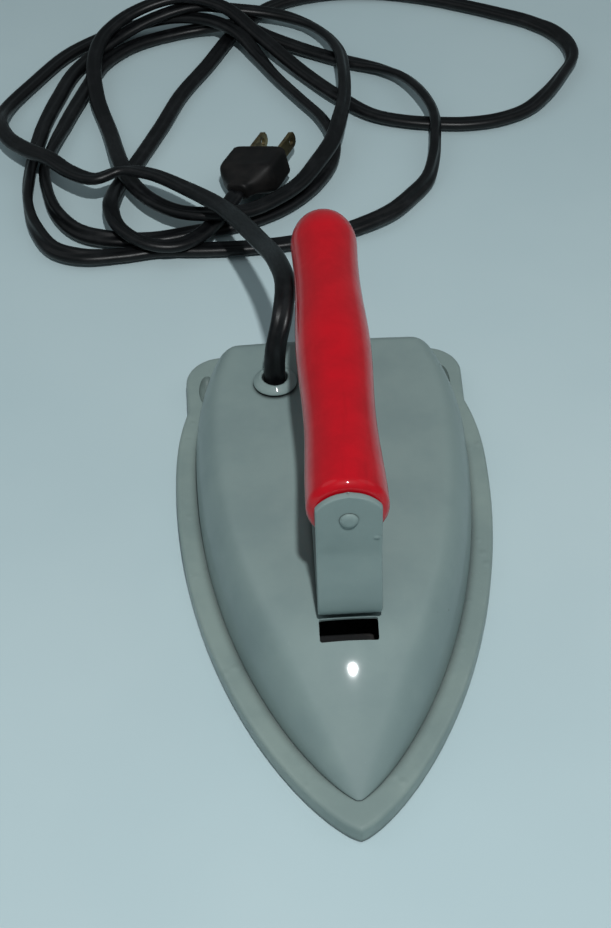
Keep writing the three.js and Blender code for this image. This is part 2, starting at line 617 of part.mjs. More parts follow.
// ---------------------------------------------------------------- strap and grip
function strap() {
  const line = STRAP_LINE.map(([station, height]) => new THREE.Vector2(yAt(station), height));
  const bent = alongX(band(line, STRAP_THICKNESS), STRAP_WIDTH);
  const half = STRAP_WIDTH / 2;
  const spring = Math.atan2(ARCH_DROP + ARCH_SPRING, half);
  const arch = Math.hypot(half, ARCH_DROP + ARCH_SPRING);
  const front = new THREE.Shape();
  front.moveTo(-half, 20);
  front.lineTo(half, 20);
  front.lineTo(half, HANDLE_AXIS + ARCH_SPRING);
  front.absarc(0, HANDLE_AXIS - ARCH_DROP, arch, spring, Math.PI - spring, false);
  const facing = new THREE.ExtrudeGeometry(front, { depth: 80, bevelEnabled: false, curveSegments: 16 })
    .applyMatrix4(new THREE.Matrix4().makeBasis(
      new THREE.Vector3(1, 0, 0), new THREE.Vector3(0, 0, 1), new THREE.Vector3(0, -1, 0)))
    .translate(0, yAt(STRAP_FOOT_REAR + 1), 0);
  let solid = toSolid(bent).intersect(toSolid(facing));
  const screwHole = rod(SCREW_HOLE, -10, 10).rotateX(Math.PI / 2).translate(0, yAt(STRAP_FACE), HANDLE_AXIS);
  const studHoles = Object.values(TALL_STUDS)
    .map((station) => rod(STUD_RADIUS + GAP, 30, 40).translate(-HANDLE_X, yAt(station), 0));
  for (const tool of [screwHole, ...studHoles]) solid = solid.subtract(toSolid(tool));
  add('handle_strap', toGeometry(solid), greyEnamel, HANDLE_X);
}

// Turned grip: rounded shoulders, a waist each side of a full middle, a domed rear end.
function gripRadius(along) {
  return HANDLE_RADIUS + HANDLE_WAVE * Math.cos(4 * Math.PI * (along - 0.02)) - HANDLE_TAPER * along ** 3;
}

function grip() {
  const bore = HANDLE_BORE / 2;
  const profile = [[0, HANDLE_BORE_DEPTH], [bore, HANDLE_BORE_DEPTH - 2], [bore, 0]];
  for (const share of [0, 0.5, 1]) {
    const turn = share * Math.PI / 2;
    profile.push([gripRadius(0.02) - GRIP_EDGE * (1 - Math.sin(turn)), GRIP_EDGE * (1 - Math.cos(turn))]);
  }
  for (let i = 1; i <= 12; i += 1) {
    const along = 0.03 + (DOME_START - 0.03) * (i / 12);
    profile.push([gripRadius(along), along * HANDLE_LENGTH]);
  }
  for (let i = 1; i <= 6; i += 1) {
    const turn = (i / 6) * Math.PI / 2;
    const along = DOME_START + (1 - DOME_START) * Math.sin(turn);
    profile.push([i === 6 ? 0 : gripRadius(DOME_START) * Math.cos(turn) ** 0.65, along * HANDLE_LENGTH]);
  }
  add('handle_grip', lathe(profile, 32), redLacquer, HANDLE_X, yAt(HANDLE_FRONT), HANDLE_AXIS);
}

function gripScrew() {
  const head = -(STRAP_THICKNESS + 2 * GAP);
  const shank = HANDLE_BORE / 2 - GAP;
  const profile = [
    [0, head - SCREW_HEAD_RISE], [SCREW_HEAD * 0.25, head - SCREW_HEAD_RISE * 0.94],
    [SCREW_HEAD * 0.42, head - SCREW_HEAD_RISE * 0.65], [SCREW_HEAD / 2, head - 0.3],
    [SCREW_HEAD / 2, head], [shank, head], [shank, HANDLE_BORE_DEPTH - 8], [0, HANDLE_BORE_DEPTH - 4],
  ];
  add('handle_screw', lathe(profile, 20), greyEnamel, HANDLE_X, yAt(HANDLE_FRONT), HANDLE_AXIS);
}

// ---------------------------------------------------------------- lead and plug
// Plan of the plug: narrow at the lead's entry, widest past the middle, straight across the front.
function plugOutline() {
  const { width, length } = PLUG;
  const half = width / 2;
  const outline = new THREE.Shape();
  outline.moveTo(-PLUG_ENTRY, 0);
  outline.lineTo(PLUG_ENTRY, 0);
  outline.bezierCurveTo(half - 3, 0, half, length * 0.3, half, length * 0.55);
  outline.lineTo(half - 0.7, length);
  outline.lineTo(-half + 0.7, length);
  outline.lineTo(-half, length * 0.55);
  outline.bezierCurveTo(-half, length * 0.3, -half + 3, 0, -PLUG_ENTRY, 0);
  return outline;
}

function plugBlade() {
  const start = PLUG.length - BLADE.socket + GAP;
  const tip = PLUG.length + BLADE.length;
  const half = BLADE.width / 2;
  const profile = new THREE.Shape([
    new THREE.Vector2(start, -half), new THREE.Vector2(tip - BLADE.chamfer, -half),
    new THREE.Vector2(tip, BLADE.chamfer - half), new THREE.Vector2(tip, half - BLADE.chamfer),
    new THREE.Vector2(tip - BLADE.chamfer, half), new THREE.Vector2(start, half),
  ]);
  profile.holes.push(new THREE.Path().absarc(tip - 4.2, 0, BLADE.hole, 0, 2 * Math.PI, true));
  return closed(alongX(profile, BLADE.thickness));
}

function leadAndPlug() {
  const pose = new THREE.Matrix4().makeTranslation(PLUG.x, PLUG.y, PLUG.lift)
    .multiply(new THREE.Matrix4().makeRotationZ(PLUG.turn))
    .multiply(new THREE.Matrix4().makeRotationY(PLUG.roll));
  const lastPoint = new THREE.Vector3(0, -GAP, 0).applyMatrix4(pose);
  add('supply_cord', tube([...CORD_ROUTE, lastPoint.toArray()], CORD_THICKNESS / 2, 8, 112), blackRubber);
  const body = new THREE.ExtrudeGeometry(plugOutline(), {
    depth: PLUG.height - 2 * PLUG_BEVEL,
    bevelThickness: PLUG_BEVEL,
    bevelSize: PLUG_BEVEL,
    bevelOffset: -PLUG_BEVEL,
    bevelSegments: 2,
    curveSegments: 6,
  }).translate(0, 0, PLUG_BEVEL - PLUG.height / 2);
  const half = BLADE.width / 2 + GAP;
  const sides = { left: -BLADE.spacing / 2, right: BLADE.spacing / 2 };
  const sockets = Object.values(sides).map((at) =>
    box(BLADE.thickness + 2 * GAP, 2 * BLADE.socket, -half, half).translate(at, PLUG.length, 0));
  add('plug_body', cut(body, ...sockets).applyMatrix4(pose), blackRubber);
  for (const [name, at] of Object.entries(sides)) {
    add(`plug_blade_${name}`, plugBlade().translate(at, 0, 0).applyMatrix4(pose), brass);
  }
}

heatingStack();
studsAndNuts();
terminals();
innerWiring();
cover();
bushing();
strap();
grip();
gripScrew();
leadAndPlug();

export default object;
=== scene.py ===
"""Looks of the electric waxing iron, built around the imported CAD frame."""
import math

import bmesh
import bpy
from mathutils import Matrix, Vector


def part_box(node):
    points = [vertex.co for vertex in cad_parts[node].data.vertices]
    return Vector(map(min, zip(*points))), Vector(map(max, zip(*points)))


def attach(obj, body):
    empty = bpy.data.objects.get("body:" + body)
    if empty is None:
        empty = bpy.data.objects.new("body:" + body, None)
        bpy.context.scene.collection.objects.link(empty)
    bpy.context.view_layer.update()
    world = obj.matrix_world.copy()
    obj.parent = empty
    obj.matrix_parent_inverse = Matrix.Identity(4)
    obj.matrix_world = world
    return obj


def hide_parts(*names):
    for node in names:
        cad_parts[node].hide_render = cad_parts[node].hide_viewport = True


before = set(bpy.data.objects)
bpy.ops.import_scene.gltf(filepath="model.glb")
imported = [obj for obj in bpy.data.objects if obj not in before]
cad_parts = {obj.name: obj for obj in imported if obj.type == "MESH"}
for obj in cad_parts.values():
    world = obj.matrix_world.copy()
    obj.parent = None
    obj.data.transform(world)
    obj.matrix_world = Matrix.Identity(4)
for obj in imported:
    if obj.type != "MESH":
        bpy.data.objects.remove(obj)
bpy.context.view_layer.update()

MM = 0.001
MERGE_DISTANCE = 2e-6              # metres

# ---------------------------------------------------------------- sizes shared with the CAD, in millimetres
SOLE_LENGTH = 190
NOSE_Y = -SOLE_LENGTH / 2          # stations are distances back from the nose tip
SOLE_HALF_WIDTH = 50
SOLE_FULLNESS = 0.75
WIDEST_STATION = 135
NECK_STATION = 163
NECK_HALF_WIDTH = 46.4
LUG_HALF_WIDTH = 46.9
LUG_RADIUS = 12
LIP_THICKNESS = 6.5
HOLLOW_X = 39.8
HOLLOW_SIZE = (2.7, 7.2, 3.3)      # half sizes across, along and deep
PLATFORM_TOP = 10
PLATFORM_FRONT = 26
PLATFORM_REAR = 166
PLATFORM_HALF_WIDTH = 38

COVER_FRONT = 8.6
COVER_REAR = 172
COVER_HALF_WIDTH = 43.2
COVER_REAR_TAPER = 4.6
COVER_FULLNESS = 0.78
COVER_CORNER = 9
COVER_FOOT = 6.8
COVER_TOP = 34
COVER_WALL = 0.9
NOSE_SLOPE = 0.66
SHOULDER_RUN = 13
CREST_SOFTNESS = 4
CROWN_FRONT, CROWN_REAR, CROWN_FROM, CROWN_TO = 0.17, 0.03, 40, 100

WINDOW_WIDTH = 16.3
WINDOW_FRONT = 45.1
WINDOW_REAR = 51.4

HANDLE_X = 0.5
HANDLE_AXIS = 70
HANDLE_FRONT = 54.7
HANDLE_LENGTH = 124
HANDLE_RADIUS = 10.5
HANDLE_WAVE = 0.5
HANDLE_TAPER = 0.45
DOME_START = 0.9
GRIP_EDGE = 2.6
HANDLE_BORE = 2.5
HANDLE_BORE_DEPTH = 48
STRAP_THICKNESS = 2
STRAP_WIDTH = 17.6
FOOT_MIDDLE = 35.3
ARCH_DROP = 2
ARCH_SPRING = 3.6
SCREW_SHANK_RADIUS = 2.2
SCREW_HEAD = 5.1
SCREW_HEAD_RISE = 1.5

STUD_RADIUS = 3
STUD_HOLE_RADIUS = STUD_RADIUS + 0.3
TALL_STUDS = {"front": 74, "rear": 96}
SHORT_STUD = 148
WASHER_BORE, WASHER_RADIUS = 3.3, 6
NUT_FLATS = 10
THREAD_PITCH, THREAD_DEPTH, THREAD_STEP = 1.0, 0.3, 0.25
NUT_BORE = 3.05
COLLAR_X = -16.6
COLLAR_STATION = 145
COLLAR_RADIUS = 6.85
COLLAR_BORE = 3.9

CORD_WIDTH = 6.6
CORD_THICKNESS = 3.8
FLOOR_HALF = 3000
FLOOR_GAP = 0.15                   # cord above z = 0, and floor sheet below it
PLUG_X, PLUG_Y, PLUG_LIFT = -27.5, 186.5, 8.9
PLUG_TURN, PLUG_ROLL = -0.45, 0.24
PLUG_WIDTH, PLUG_LENGTH, PLUG_HEIGHT = 24, 24, 13
PLUG_START = 0.15                  # gap between the cord's end and the plug
PLUG_DISH, PLUG_DISH_HALF = 0.5, 10.5
NECK_HALF_THICK = 3.7
NECK_HALF_BROAD = 4.6
BLADE_WIDTH, BLADE_THICKNESS, BLADE_LENGTH, BLADE_SPACING, BLADE_SOCKET = 6.35, 1.5, 17, 12.7, 8
BLADE_HOLE_RADIUS, BLADE_HOLE_BACK = 1.5, 4.2


def y_at(station):
    return NOSE_Y + station


# ---------------------------------------------------------------- camera, lights and floor
CAMERA_PLACE = (-0.01667, -0.32067, 0.37447)     # metres
CAMERA_TURNS = (1.334, 45.5, 2.026)              # degrees: to the right, down, and tilted
CAMERA_LENS = 62.069                             # millimetres, on a sensor 36 mm high


def camera():
    yaw, pitch, roll = (math.radians(angle) for angle in CAMERA_TURNS)
    ahead = Vector((math.sin(yaw) * math.cos(pitch), math.cos(yaw) * math.cos(pitch), -math.sin(pitch)))
    level = Vector((math.cos(yaw), -math.sin(yaw), 0))
    below = ahead.cross(level)
    right = math.cos(roll) * level + math.sin(roll) * below
    up = math.sin(roll) * level - math.cos(roll) * below
    data = bpy.data.cameras.new("camera")
    data.sensor_fit = "AUTO"
    data.sensor_width = 36
    data.lens = CAMERA_LENS
    data.clip_start, data.clip_end = 0.01, 20
    obj = bpy.data.objects.new("camera", data)
    turn = Matrix((right, up, -ahead)).transposed().to_4x4()
    obj.matrix_world = Matrix.Translation(CAMERA_PLACE) @ turn
    bpy.context.scene.collection.objects.link(obj)
    bpy.context.scene.camera = obj


LIT_POINT = Vector((0, 0.03, 0.02))


def area_light(name, towards, distance, size, power, color):
    data = bpy.data.lights.new(name, "AREA")
    data.shape = "DISK"
    data.size = size
    data.energy = power
    data.color = color
    obj = bpy.data.objects.new(name, data)
    way = Vector(towards).normalized()
    obj.location = LIT_POINT + way * distance
    obj.rotation_euler = way.to_track_quat("Z", "Y").to_euler()
    bpy.context.scene.collection.objects.link(obj)


def lights():
    area_light("key", (0.05, -0.52, 1.0), 0.92, 0.036, 6.0, (0.97, 0.995, 1.0))
    area_light("sky_left", (-0.9, 0.3, 1.0), 1.6, 1.2, 1.5, (0.92, 0.97, 1.0))
    area_light("sky_right", (1.0, 0.1, 0.9), 1.6, 1.2, 1.2, (0.95, 0.98, 1.0))
    world = bpy.data.worlds.new("world")
    world.use_nodes = True
    background = world.node_tree.nodes["Background"]
    background.inputs["Color"].default_value = (0.62, 0.74, 0.78, 1)
    background.inputs["Strength"].default_value = 0.215
    bpy.context.scene.world = world


# ---------------------------------------------------------------- materials
class Shader:
    """A small helper that wires procedural node materials."""

    def __init__(self, name):
        self.material = bpy.data.materials.new(name)
        self.material.use_nodes = True
        self.tree = self.material.node_tree
        self.surface = self.tree.nodes["Principled BSDF"]
        self.place = self.node("ShaderNodeTexCoord").outputs["Object"]

    def node(self, kind, **settings):
        made = self.tree.nodes.new(kind)
        for key, value in settings.items():
            setattr(made, key, value)
        return made

    def link(self, source, target):
        if hasattr(source, "is_output"):
            self.tree.links.new(source, target)
        else:
            target.default_value = source

    def stretched(self, scale, vector=None):
        mapping = self.node("ShaderNodeMapping")
        self.link(vector or self.place, mapping.inputs["Vector"])
        mapping.inputs["Scale"].default_value = scale
        return mapping.outputs["Vector"]

    def noise(self, scale, detail=3.0, roughness=0.5, vector=None):
        made = self.node("ShaderNodeTexNoise")
        self.link(vector or self.place, made.inputs["Vector"])
        made.inputs["Scale"].default_value = scale
        made.inputs["Detail"].default_value = detail
        made.inputs["Roughness"].default_value = roughness
        return made.outputs["Fac"]

    def cells(self, scale):
        made = self.node("ShaderNodeTexVoronoi")
        self.link(self.place, made.inputs["Vector"])
        made.inputs["Scale"].default_value = scale
        return made.outputs["Distance"]

    def span(self, value, low, high, out_low=0.0, out_high=1.0):
        made = self.node("ShaderNodeMapRange", clamp=True, interpolation_type="SMOOTHSTEP")
        self.link(value, made.inputs["Value"])
        for key, number in (("From Min", low), ("From Max", high), ("To Min", out_low), ("To Max", out_high)):
            made.inputs[key].default_value = number
        return made.outputs["Result"]

    def math(self, operation, a, b=0.0):
        made = self.node("ShaderNodeMath", operation=operation)
        self.link(a, made.inputs[0])
        self.link(b, made.inputs[1])
        return made.outputs["Value"]

    def mix(self, factor, a, b):
        made = self.node("ShaderNodeMix", data_type="RGBA")
        self.link(factor, made.inputs["Factor"])
        self.link(a if hasattr(a, "is_output") else (*a, 1), made.inputs["A"])
        self.link(b if hasattr(b, "is_output") else (*b, 1), made.inputs["B"])
        return made.outputs["Result"]

    def bump(self, height, depth_mm, strength=1.0, below=None):
        made = self.node("ShaderNodeBump")
        made.inputs["Strength"].default_value = strength
        made.inputs["Distance"].default_value = depth_mm * MM
        self.link(height, made.inputs["Height"])
        if below is not None:
            self.link(below, made.inputs["Normal"])
        return made.outputs["Normal"]

    def axis(self, name):
        split = self.node("ShaderNodeSeparateXYZ")
        self.link(self.place, split.inputs["Vector"])
        return split.outputs[name]

    def painted_crevice_shade(self, color, reach_mm, dark):
        """Paints shade into a colour: darkens it in narrow corners, where shade gathers."""
        open_sky = self.node("ShaderNodeAmbientOcclusion", samples=8)
        open_sky.inputs["Distance"].default_value = reach_mm * MM
        return self.mix(self.span(open_sky.outputs["AO"], 0.30, 0.88), dark, color)

    def finish(self, color, roughness, metallic=0.0, normal=None, coat=0.0, coat_roughness=0.1, specular=0.5):
        self.link(color if hasattr(color, "is_output") else (*color, 1), self.surface.inputs["Base Color"])
        self.link(roughness, self.surface.inputs["Roughness"])
        self.link(metallic, self.surface.inputs["Metallic"])
        self.surface.inputs["Specular IOR Level"].default_value = specular
        self.surface.inputs["Coat Weight"].default_value = coat
        self.surface.inputs["Coat Roughness"].default_value = coat_roughness
        if normal is not None:
            self.link(normal, self.surface.inputs["Normal"])
        return self.material


def grey_paint(shader, base, shade, speck_scale):
    """Sprayed grey paint: faint clouding, dust specks and a few dark chips."""
    clouds = shader.span(shader.noise(38, 4, 0.6), 0.35, 0.68)
    color = shader.mix(clouds, base, shade)
    dust = shader.span(shader.cells(speck_scale), 0.04, 0.10, 1.0, 0.0)
    dust = shader.math("MULTIPLY", dust, shader.span(shader.noise(60, 2), 0.52, 0.62, 0.0, 0.5))
    color = shader.mix(dust, color, tuple(min(1.0, c * 1.7) for c in base))
    chips = shader.span(shader.cells(140), 0.03, 0.05, 1.0, 0.0)
    chips = shader.math("MULTIPLY", chips, shader.span(shader.noise(17, 2), 0.60, 0.64, 0.0, 0.8))
    return shader.mix(chips, color, (0.02, 0.022, 0.02))


PAINT_DRIP = (0.0078, -0.0433, 0.0625)      # a bead of paint near the strap's right edge, in metres


def cover_enamel():
    s = Shader("cover_enamel")
    color = grey_paint(s, (0.214, 0.281, 0.272), (0.188, 0.252, 0.248), 900)
    # Painted shade: the cover's colour darkens in its narrow corners, where shade falls.
    color = s.painted_crevice_shade(color, 2.2, (0.026, 0.034, 0.034))
    roughness = s.span(s.noise(55, 3), 0.3, 0.7, 0.52, 0.62)
    peel = s.bump(s.noise(520, 2, 0.45), 0.03, 0.3)
    waves = s.bump(s.noise(45, 2), 0.08, 0.4, below=peel)
    drip = s.node("ShaderNodeVectorMath", operation="DISTANCE")
    s.link(s.place, drip.inputs[0])
    drip.inputs[1].default_value = PAINT_DRIP
    bead = s.bump(s.span(drip.outputs["Value"], 0.0003, 0.0013, 1.0, 0.0), 0.5, 1.0, below=waves)
    return s.finish(color, roughness, 0.0, bead, coat=0.30, coat_roughness=0.07, specular=0.25)


def sole_enamel():
    """The same paint over a rough casting, with the working face ground to bare iron."""
    s = Shader("sole_enamel")
    color = grey_paint(s, (0.246, 0.312, 0.292), (0.205, 0.268, 0.256), 700)
    # Painted shade: the casting's colour darkens in narrow corners, such as the groove along the cover's
    # foot.
    color = s.painted_crevice_shade(color, 4.0, (0.018, 0.024, 0.024))
    grain = s.noise(360, 4, 0.6)
    pimples = s.span(s.cells(240), 0.0, 0.42, 1.0, 0.0)
    pimples = s.math("MULTIPLY", pimples, s.span(s.noise(70, 2), 0.45, 0.65))
    casting = s.bump(grain, 0.10, 0.6)
    casting = s.bump(pimples, 0.28, 0.8, below=casting)
    casting = s.bump(s.noise(60, 3), 0.35, 0.6, below=casting)
    painted = s.finish(color, s.span(grain, 0.3, 0.7, 0.5, 0.62), 0.0, casting, coat=0.3, coat_roughness=0.12,
                       specular=0.3)
    ground = s.node("ShaderNodeBsdfPrincipled")
    lines = s.noise(900, 3, 0.7, vector=s.stretched((1, 0.02, 1)))
    s.link(s.mix(lines, (0.30, 0.29, 0.28), (0.52, 0.51, 0.49)), ground.inputs["Base Color"])
    ground.inputs["Metallic"].default_value = 1
    s.link(s.span(lines, 0.3, 0.7, 0.22, 0.4), ground.inputs["Roughness"])
    s.link(s.bump(lines, 0.02, 0.5), ground.inputs["Normal"])
    share = s.node("ShaderNodeMixShader")
    s.link(s.span(s.axis("Z"), 0.0002, 0.0006), share.inputs["Fac"])
    s.tree.links.new(ground.outputs["BSDF"], share.inputs[1])
    s.tree.links.new(s.surface.outputs["BSDF"], share.inputs[2])
    s.tree.links.new(share.outputs["Shader"], s.tree.nodes["Material Output"].inputs["Surface"])
    return painted


def grip_lacquer():
    s = Shader("grip_lacquer")
    clouds = s.span(s.noise(75, 4, 0.65), 0.3, 0.7)
    color = s.mix(clouds, (0.52, 0.001, 0.009), (0.43, 0.001, 0.008))
    grain = s.noise(300, 3, 0.6, vector=s.stretched((1, 0.06, 1)))
    color = s.mix(s.span(grain, 0.55, 0.75, 0.0, 0.3), color, (0.33, 0.001, 0.006))
    nicks = s.span(s.cells(210), 0.03, 0.06, 1.0, 0.0)
    nicks = s.math("MULTIPLY", nicks, s.span(s.noise(33, 2), 0.62, 0.66, 0.0, 0.7))
    color = s.mix(nicks, color, (0.55, 0.30, 0.26))
    drips = s.bump(s.noise(70, 2), 0.16, 0.5)
    drips = s.bump(grain, 0.03, 0.3, below=drips)
    return s.finish(color, s.span(clouds, 0.0, 1.0, 0.42, 0.55), 0.0, drips, coat=0.7, coat_roughness=0.06,
                    specular=0.12)


def cord_rubber():
    s = Shader("cord_rubber")
    around = s.node("ShaderNodeUVMap").outputs["UV"]
    streaks = s.noise(14, 3, 0.6, vector=s.stretched((9, 0.5, 1), around))
    scuffs = s.noise(130, 4, 0.7)
    color = s.mix(s.span(scuffs, 0.45, 0.75), (0.0030, 0.0034, 0.0040), (0.0095, 0.0100, 0.0110))
    skin = s.bump(streaks, 0.05, 0.5)
    skin = s.bump(scuffs, 0.04, 0.4, below=skin)
    return s.finish(color, s.span(streaks, 0.3, 0.7, 0.30, 0.46), 0.0, skin, specular=0.28)


def plug_rubber():
    s = Shader("plug_rubber")
    blotches = s.noise(120, 4, 0.65)
    color = s.mix(s.span(blotches, 0.4, 0.7), (0.0045, 0.0042, 0.0042), (0.0120, 0.0105, 0.0100))
    skin = s.bump(s.noise(700, 3, 0.6), 0.05, 0.5)
    skin = s.bump(blotches, 0.12, 0.4, below=skin)
    return s.finish(color, s.span(blotches, 0.3, 0.7, 0.48, 0.62), 0.0, skin, specular=0.22)


def worn_metal(name, bright, dull, rough_low, rough_high, stretch=(1, 0.1, 1)):
    s = Shader(name)
    lines = s.noise(500, 3, 0.65, vector=s.stretched(stretch))
    tarnish = s.span(s.noise(140, 4, 0.7), 0.4, 0.66)
    color = s.mix(tarnish, s.mix(lines, bright, tuple(c * 0.8 for c in bright)), dull)
    return s.finish(color, s.span(tarnish, 0.0, 1.0, rough_low, rough_high), 1.0, s.bump(lines, 0.02, 0.5))


def mica_sheet():
    s = Shader("mica_sheet")
    flakes = s.cells(160)
    color = s.mix(s.span(flakes, 0.1, 0.7), (0.62, 0.49, 0.29), (0.42, 0.30, 0.15))
    return s.finish(color, s.span(flakes, 0.0, 0.8, 0.18, 0.4), 0.0, s.bump(flakes, 0.05, 0.4))


def steatite():
    s = Shader("steatite")
    specks = s.span(s.cells(900), 0.05, 0.2, 1.0, 0.0)
    color = s.mix(specks, (0.79, 0.73, 0.62), (0.45, 0.40, 0.33))
    return s.finish(color, 0.62, 0.0, s.bump(s.noise(800, 3), 0.04, 0.5))


def glass_sleeve():
    s = Shader("glass_sleeve")
    weave = s.node("ShaderNodeTexWave", wave_type="BANDS", bands_direction="DIAGONAL")
    s.link(s.place, weave.inputs["Vector"])
    weave.inputs["Scale"].default_value = 600
    weave.inputs["Distortion"].default_value = 1.5
    fibres = weave.outputs["Fac"]
    color = s.mix(fibres, (0.69, 0.64, 0.51), (0.45, 0.41, 0.31))
    return s.finish(color, 0.85, 0.0, s.bump(fibres, 0.1, 0.7))


def floor_paper():
    s = Shader("floor_paper")
    clouds = s.span(s.noise(5, 4, 0.55), 0.3, 0.7)
    color = s.mix(clouds, (0.520, 0.640, 0.665), (0.475, 0.600, 0.630))
    specks = s.span(s.cells(90), 0.010, 0.016, 1.0, 0.0)
    specks = s.math("MULTIPLY", specks, s.span(s.noise(9, 2), 0.5, 0.6, 0.0, 0.5))
    color = s.mix(specks, color, (0.18, 0.2, 0.2))
    return s.finish(color, 0.62, 0.0, s.bump(s.noise(420, 3, 0.6), 0.05, 0.3))


MATERIALS = {
    "cover_enamel": cover_enamel(),
    "sole_enamel": sole_enamel(),
    "grip_lacquer": grip_lacquer(),
    "cord_rubber": cord_rubber(),
    "plug_rubber": plug_rubber(),
    "blade_brass": worn_metal("blade_brass", (0.36, 0.27, 0.13), (0.10, 0.08, 0.05), 0.32, 0.5),
    "plated_steel": worn_metal("plated_steel", (0.48, 0.49, 0.50), (0.26, 0.26, 0.25), 0.28, 0.45),
    "bare_steel": worn_metal("bare_steel", (0.20, 0.205, 0.21), (0.10, 0.085, 0.07), 0.4, 0.6),
    "element_ribbon": worn_metal("element_ribbon", (0.30, 0.26, 0.22), (0.13, 0.11, 0.13), 0.35, 0.5,
                                 (0.1, 1, 1)),
    "mica_sheet": mica_sheet(),
    "steatite": steatite(),
    "glass_sleeve": glass_sleeve(),
}


# ---------------------------------------------------------------- mesh helpers
def new_object(name, points, faces):
    """A mesh object from points in millimetres."""
    mesh = bpy.data.meshes.new(name)
    mesh.from_pydata([(x * MM, y * MM, z * MM) for x, y, z in points], [], faces)
    mesh.validate()
    mesh.update()
    mesh.polygons.foreach_set("use_smooth", [True] * len(mesh.polygons))
    obj = bpy.data.objects.new(name, mesh)
    bpy.context.scene.collection.objects.link(obj)
    return obj


def sharpen(obj, degrees=35):
    """Shades smoothly except over edges sharper than the angle."""
    obj.data.set_sharp_from_angle(angle=math.radians(degrees))


def bake(obj):
    """Applies the object's modifiers."""
    bpy.context.view_layer.update()
    graph = bpy.context.evaluated_depsgraph_get()
    mesh = bpy.data.meshes.new_from_object(obj.evaluated_get(graph))
    old = obj.data
    obj.modifiers.clear()
    obj.data = mesh
    bpy.data.meshes.remove(old)


def carve(obj, cutters, operation="DIFFERENCE"):
    for cutter in cutters:
        change = obj.modifiers.new("carve", "BOOLEAN")
        change.operation = operation
        change.solver = "EXACT"
        change.object = cutter
    bake(obj)
    for cutter in cutters:
        mesh = cutter.data
        bpy.data.objects.remove(cutter)
        bpy.data.meshes.remove(mesh)


def dress(obj, slot, *nodes):
    """Gives a new piece the material of its slot, attaches it to its body and hides the CAD nodes that it
    stands for.
    """
    obj.data.materials.clear()
    obj.data.materials.append(MATERIALS[slot])
    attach(obj, "root")
    if nodes:
        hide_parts(*nodes)
    return obj


def angles(count):
    return [2 * math.pi * k / count for k in range(count)]


def loft(rings, closed_path=False):
    """Points and faces of a skin through rings with the same number of points."""
    size = len(rings[0])
    points = [p for ring in rings for p in ring]
    faces = []
    for i in range(len(rings) if closed_path else len(rings) - 1):
        a, b = i * size, ((i + 1) % len(rings)) * size
        for j in range(size):
            k = (j + 1) % size
            faces.append((a + j, a + k, b + k, b + j))
    if not closed_path:
        faces.append(tuple(reversed(range(size))))
        faces.append(tuple(range(len(points) - size, len(points))))
    return points, faces


def turned(profile, place, segments=96, axis="Z", wobble=None):
    """A profile of (radius, height) turned round an axis through place. It closes on itself."""
    points, rows = [], len(profile)
    for i in range(segments):
        angle = 2 * math.pi * i / segments
        c, s = math.cos(angle), math.sin(angle)
        for radius, height in profile:
            r = radius + (wobble(angle, height) if wobble and radius > 0.01 else 0)
            local = (r * c, r * s, height) if axis == "Z" else (r * c, height, -r * s)
            points.append(tuple(a + b for a, b in zip(place, local)))
    faces = []
    for i in range(segments):
        a, b = i * rows, ((i + 1) % segments) * rows
        for j in range(rows):
            k = (j + 1) % rows
            faces.append((a + j, b + j, b + k, a + k))
    return points, faces


def turned_object(name, profile, place, segments=96, axis="Z", wobble=None):
    obj = new_object(name, *turned(profile, place, segments, axis, wobble))
    work = bmesh.new()
    work.from_mesh(obj.data)
    bmesh.ops.remove_doubles(work, verts=work.verts, dist=MERGE_DISTANCE)
    bmesh.ops.recalc_face_normals(work, faces=work.faces)
    work.to_mesh(obj.data)
    work.free()
    sharpen(obj, 40)
    return obj


def cylinder(name, radius, low, high, x, y):
    ring = [(radius * math.cos(angle), radius * math.sin(angle)) for angle in angles(48)]
    return new_object(name, *loft([[(x + a, y + b, h) for a, b in ring] for h in (low, high)]))


def smooth_line(points, steps):
    """Centripetal Catmull-Rom through the points, as plain tuples."""
    ends = [2 * points[0] - points[1], *points, 2 * points[-1] - points[-2]]
    line = []
    for i in range(1, len(ends) - 2):
        p0, p1, p2, p3 = ends[i - 1:i + 3]
        t1 = (p1 - p0).length ** 0.5
        t2 = t1 + (p2 - p1).length ** 0.5
        t3 = t2 + (p3 - p2).length ** 0.5
        for k in range(steps):
            t = t1 + (t2 - t1) * k / steps
            a1 = p0 * ((t1 - t) / t1) + p1 * (t / t1)
            a2 = p1 * ((t2 - t) / (t2 - t1)) + p2 * ((t - t1) / (t2 - t1))
            a3 = p2 * ((t3 - t) / (t3 - t2)) + p3 * ((t - t2) / (t3 - t2))
            b1 = a1 * ((t2 - t) / t2) + a2 * (t / t2)
            b2 = a2 * ((t3 - t) / (t3 - t1)) + a3 * ((t - t1) / (t3 - t1))
            line.append(b1 * ((t2 - t) / (t2 - t1)) + b2 * ((t - t1) / (t2 - t1)))
    line.append(points[-1].copy())
    return line


def even(line, step):
    """The line again with points a step apart, and the share of the line's own index at each."""
    along = [0.0]
    for a, b in zip(line, line[1:]):
        along.append(along[-1] + (b - a).length)
    count = max(2, round(along[-1] / step))
    out, index, j = [], [], 0
    for i in range(count + 1):
        at = along[-1] * i / count
        while j < len(along) - 2 and along[j + 1] < at:
            j += 1
        part = (at - along[j]) / max(along[j + 1] - along[j], 1e-9)
        out.append(line[j].lerp(line[j + 1], min(max(part, 0), 1)))
        index.append(j + part)
    return out, index, along[-1]


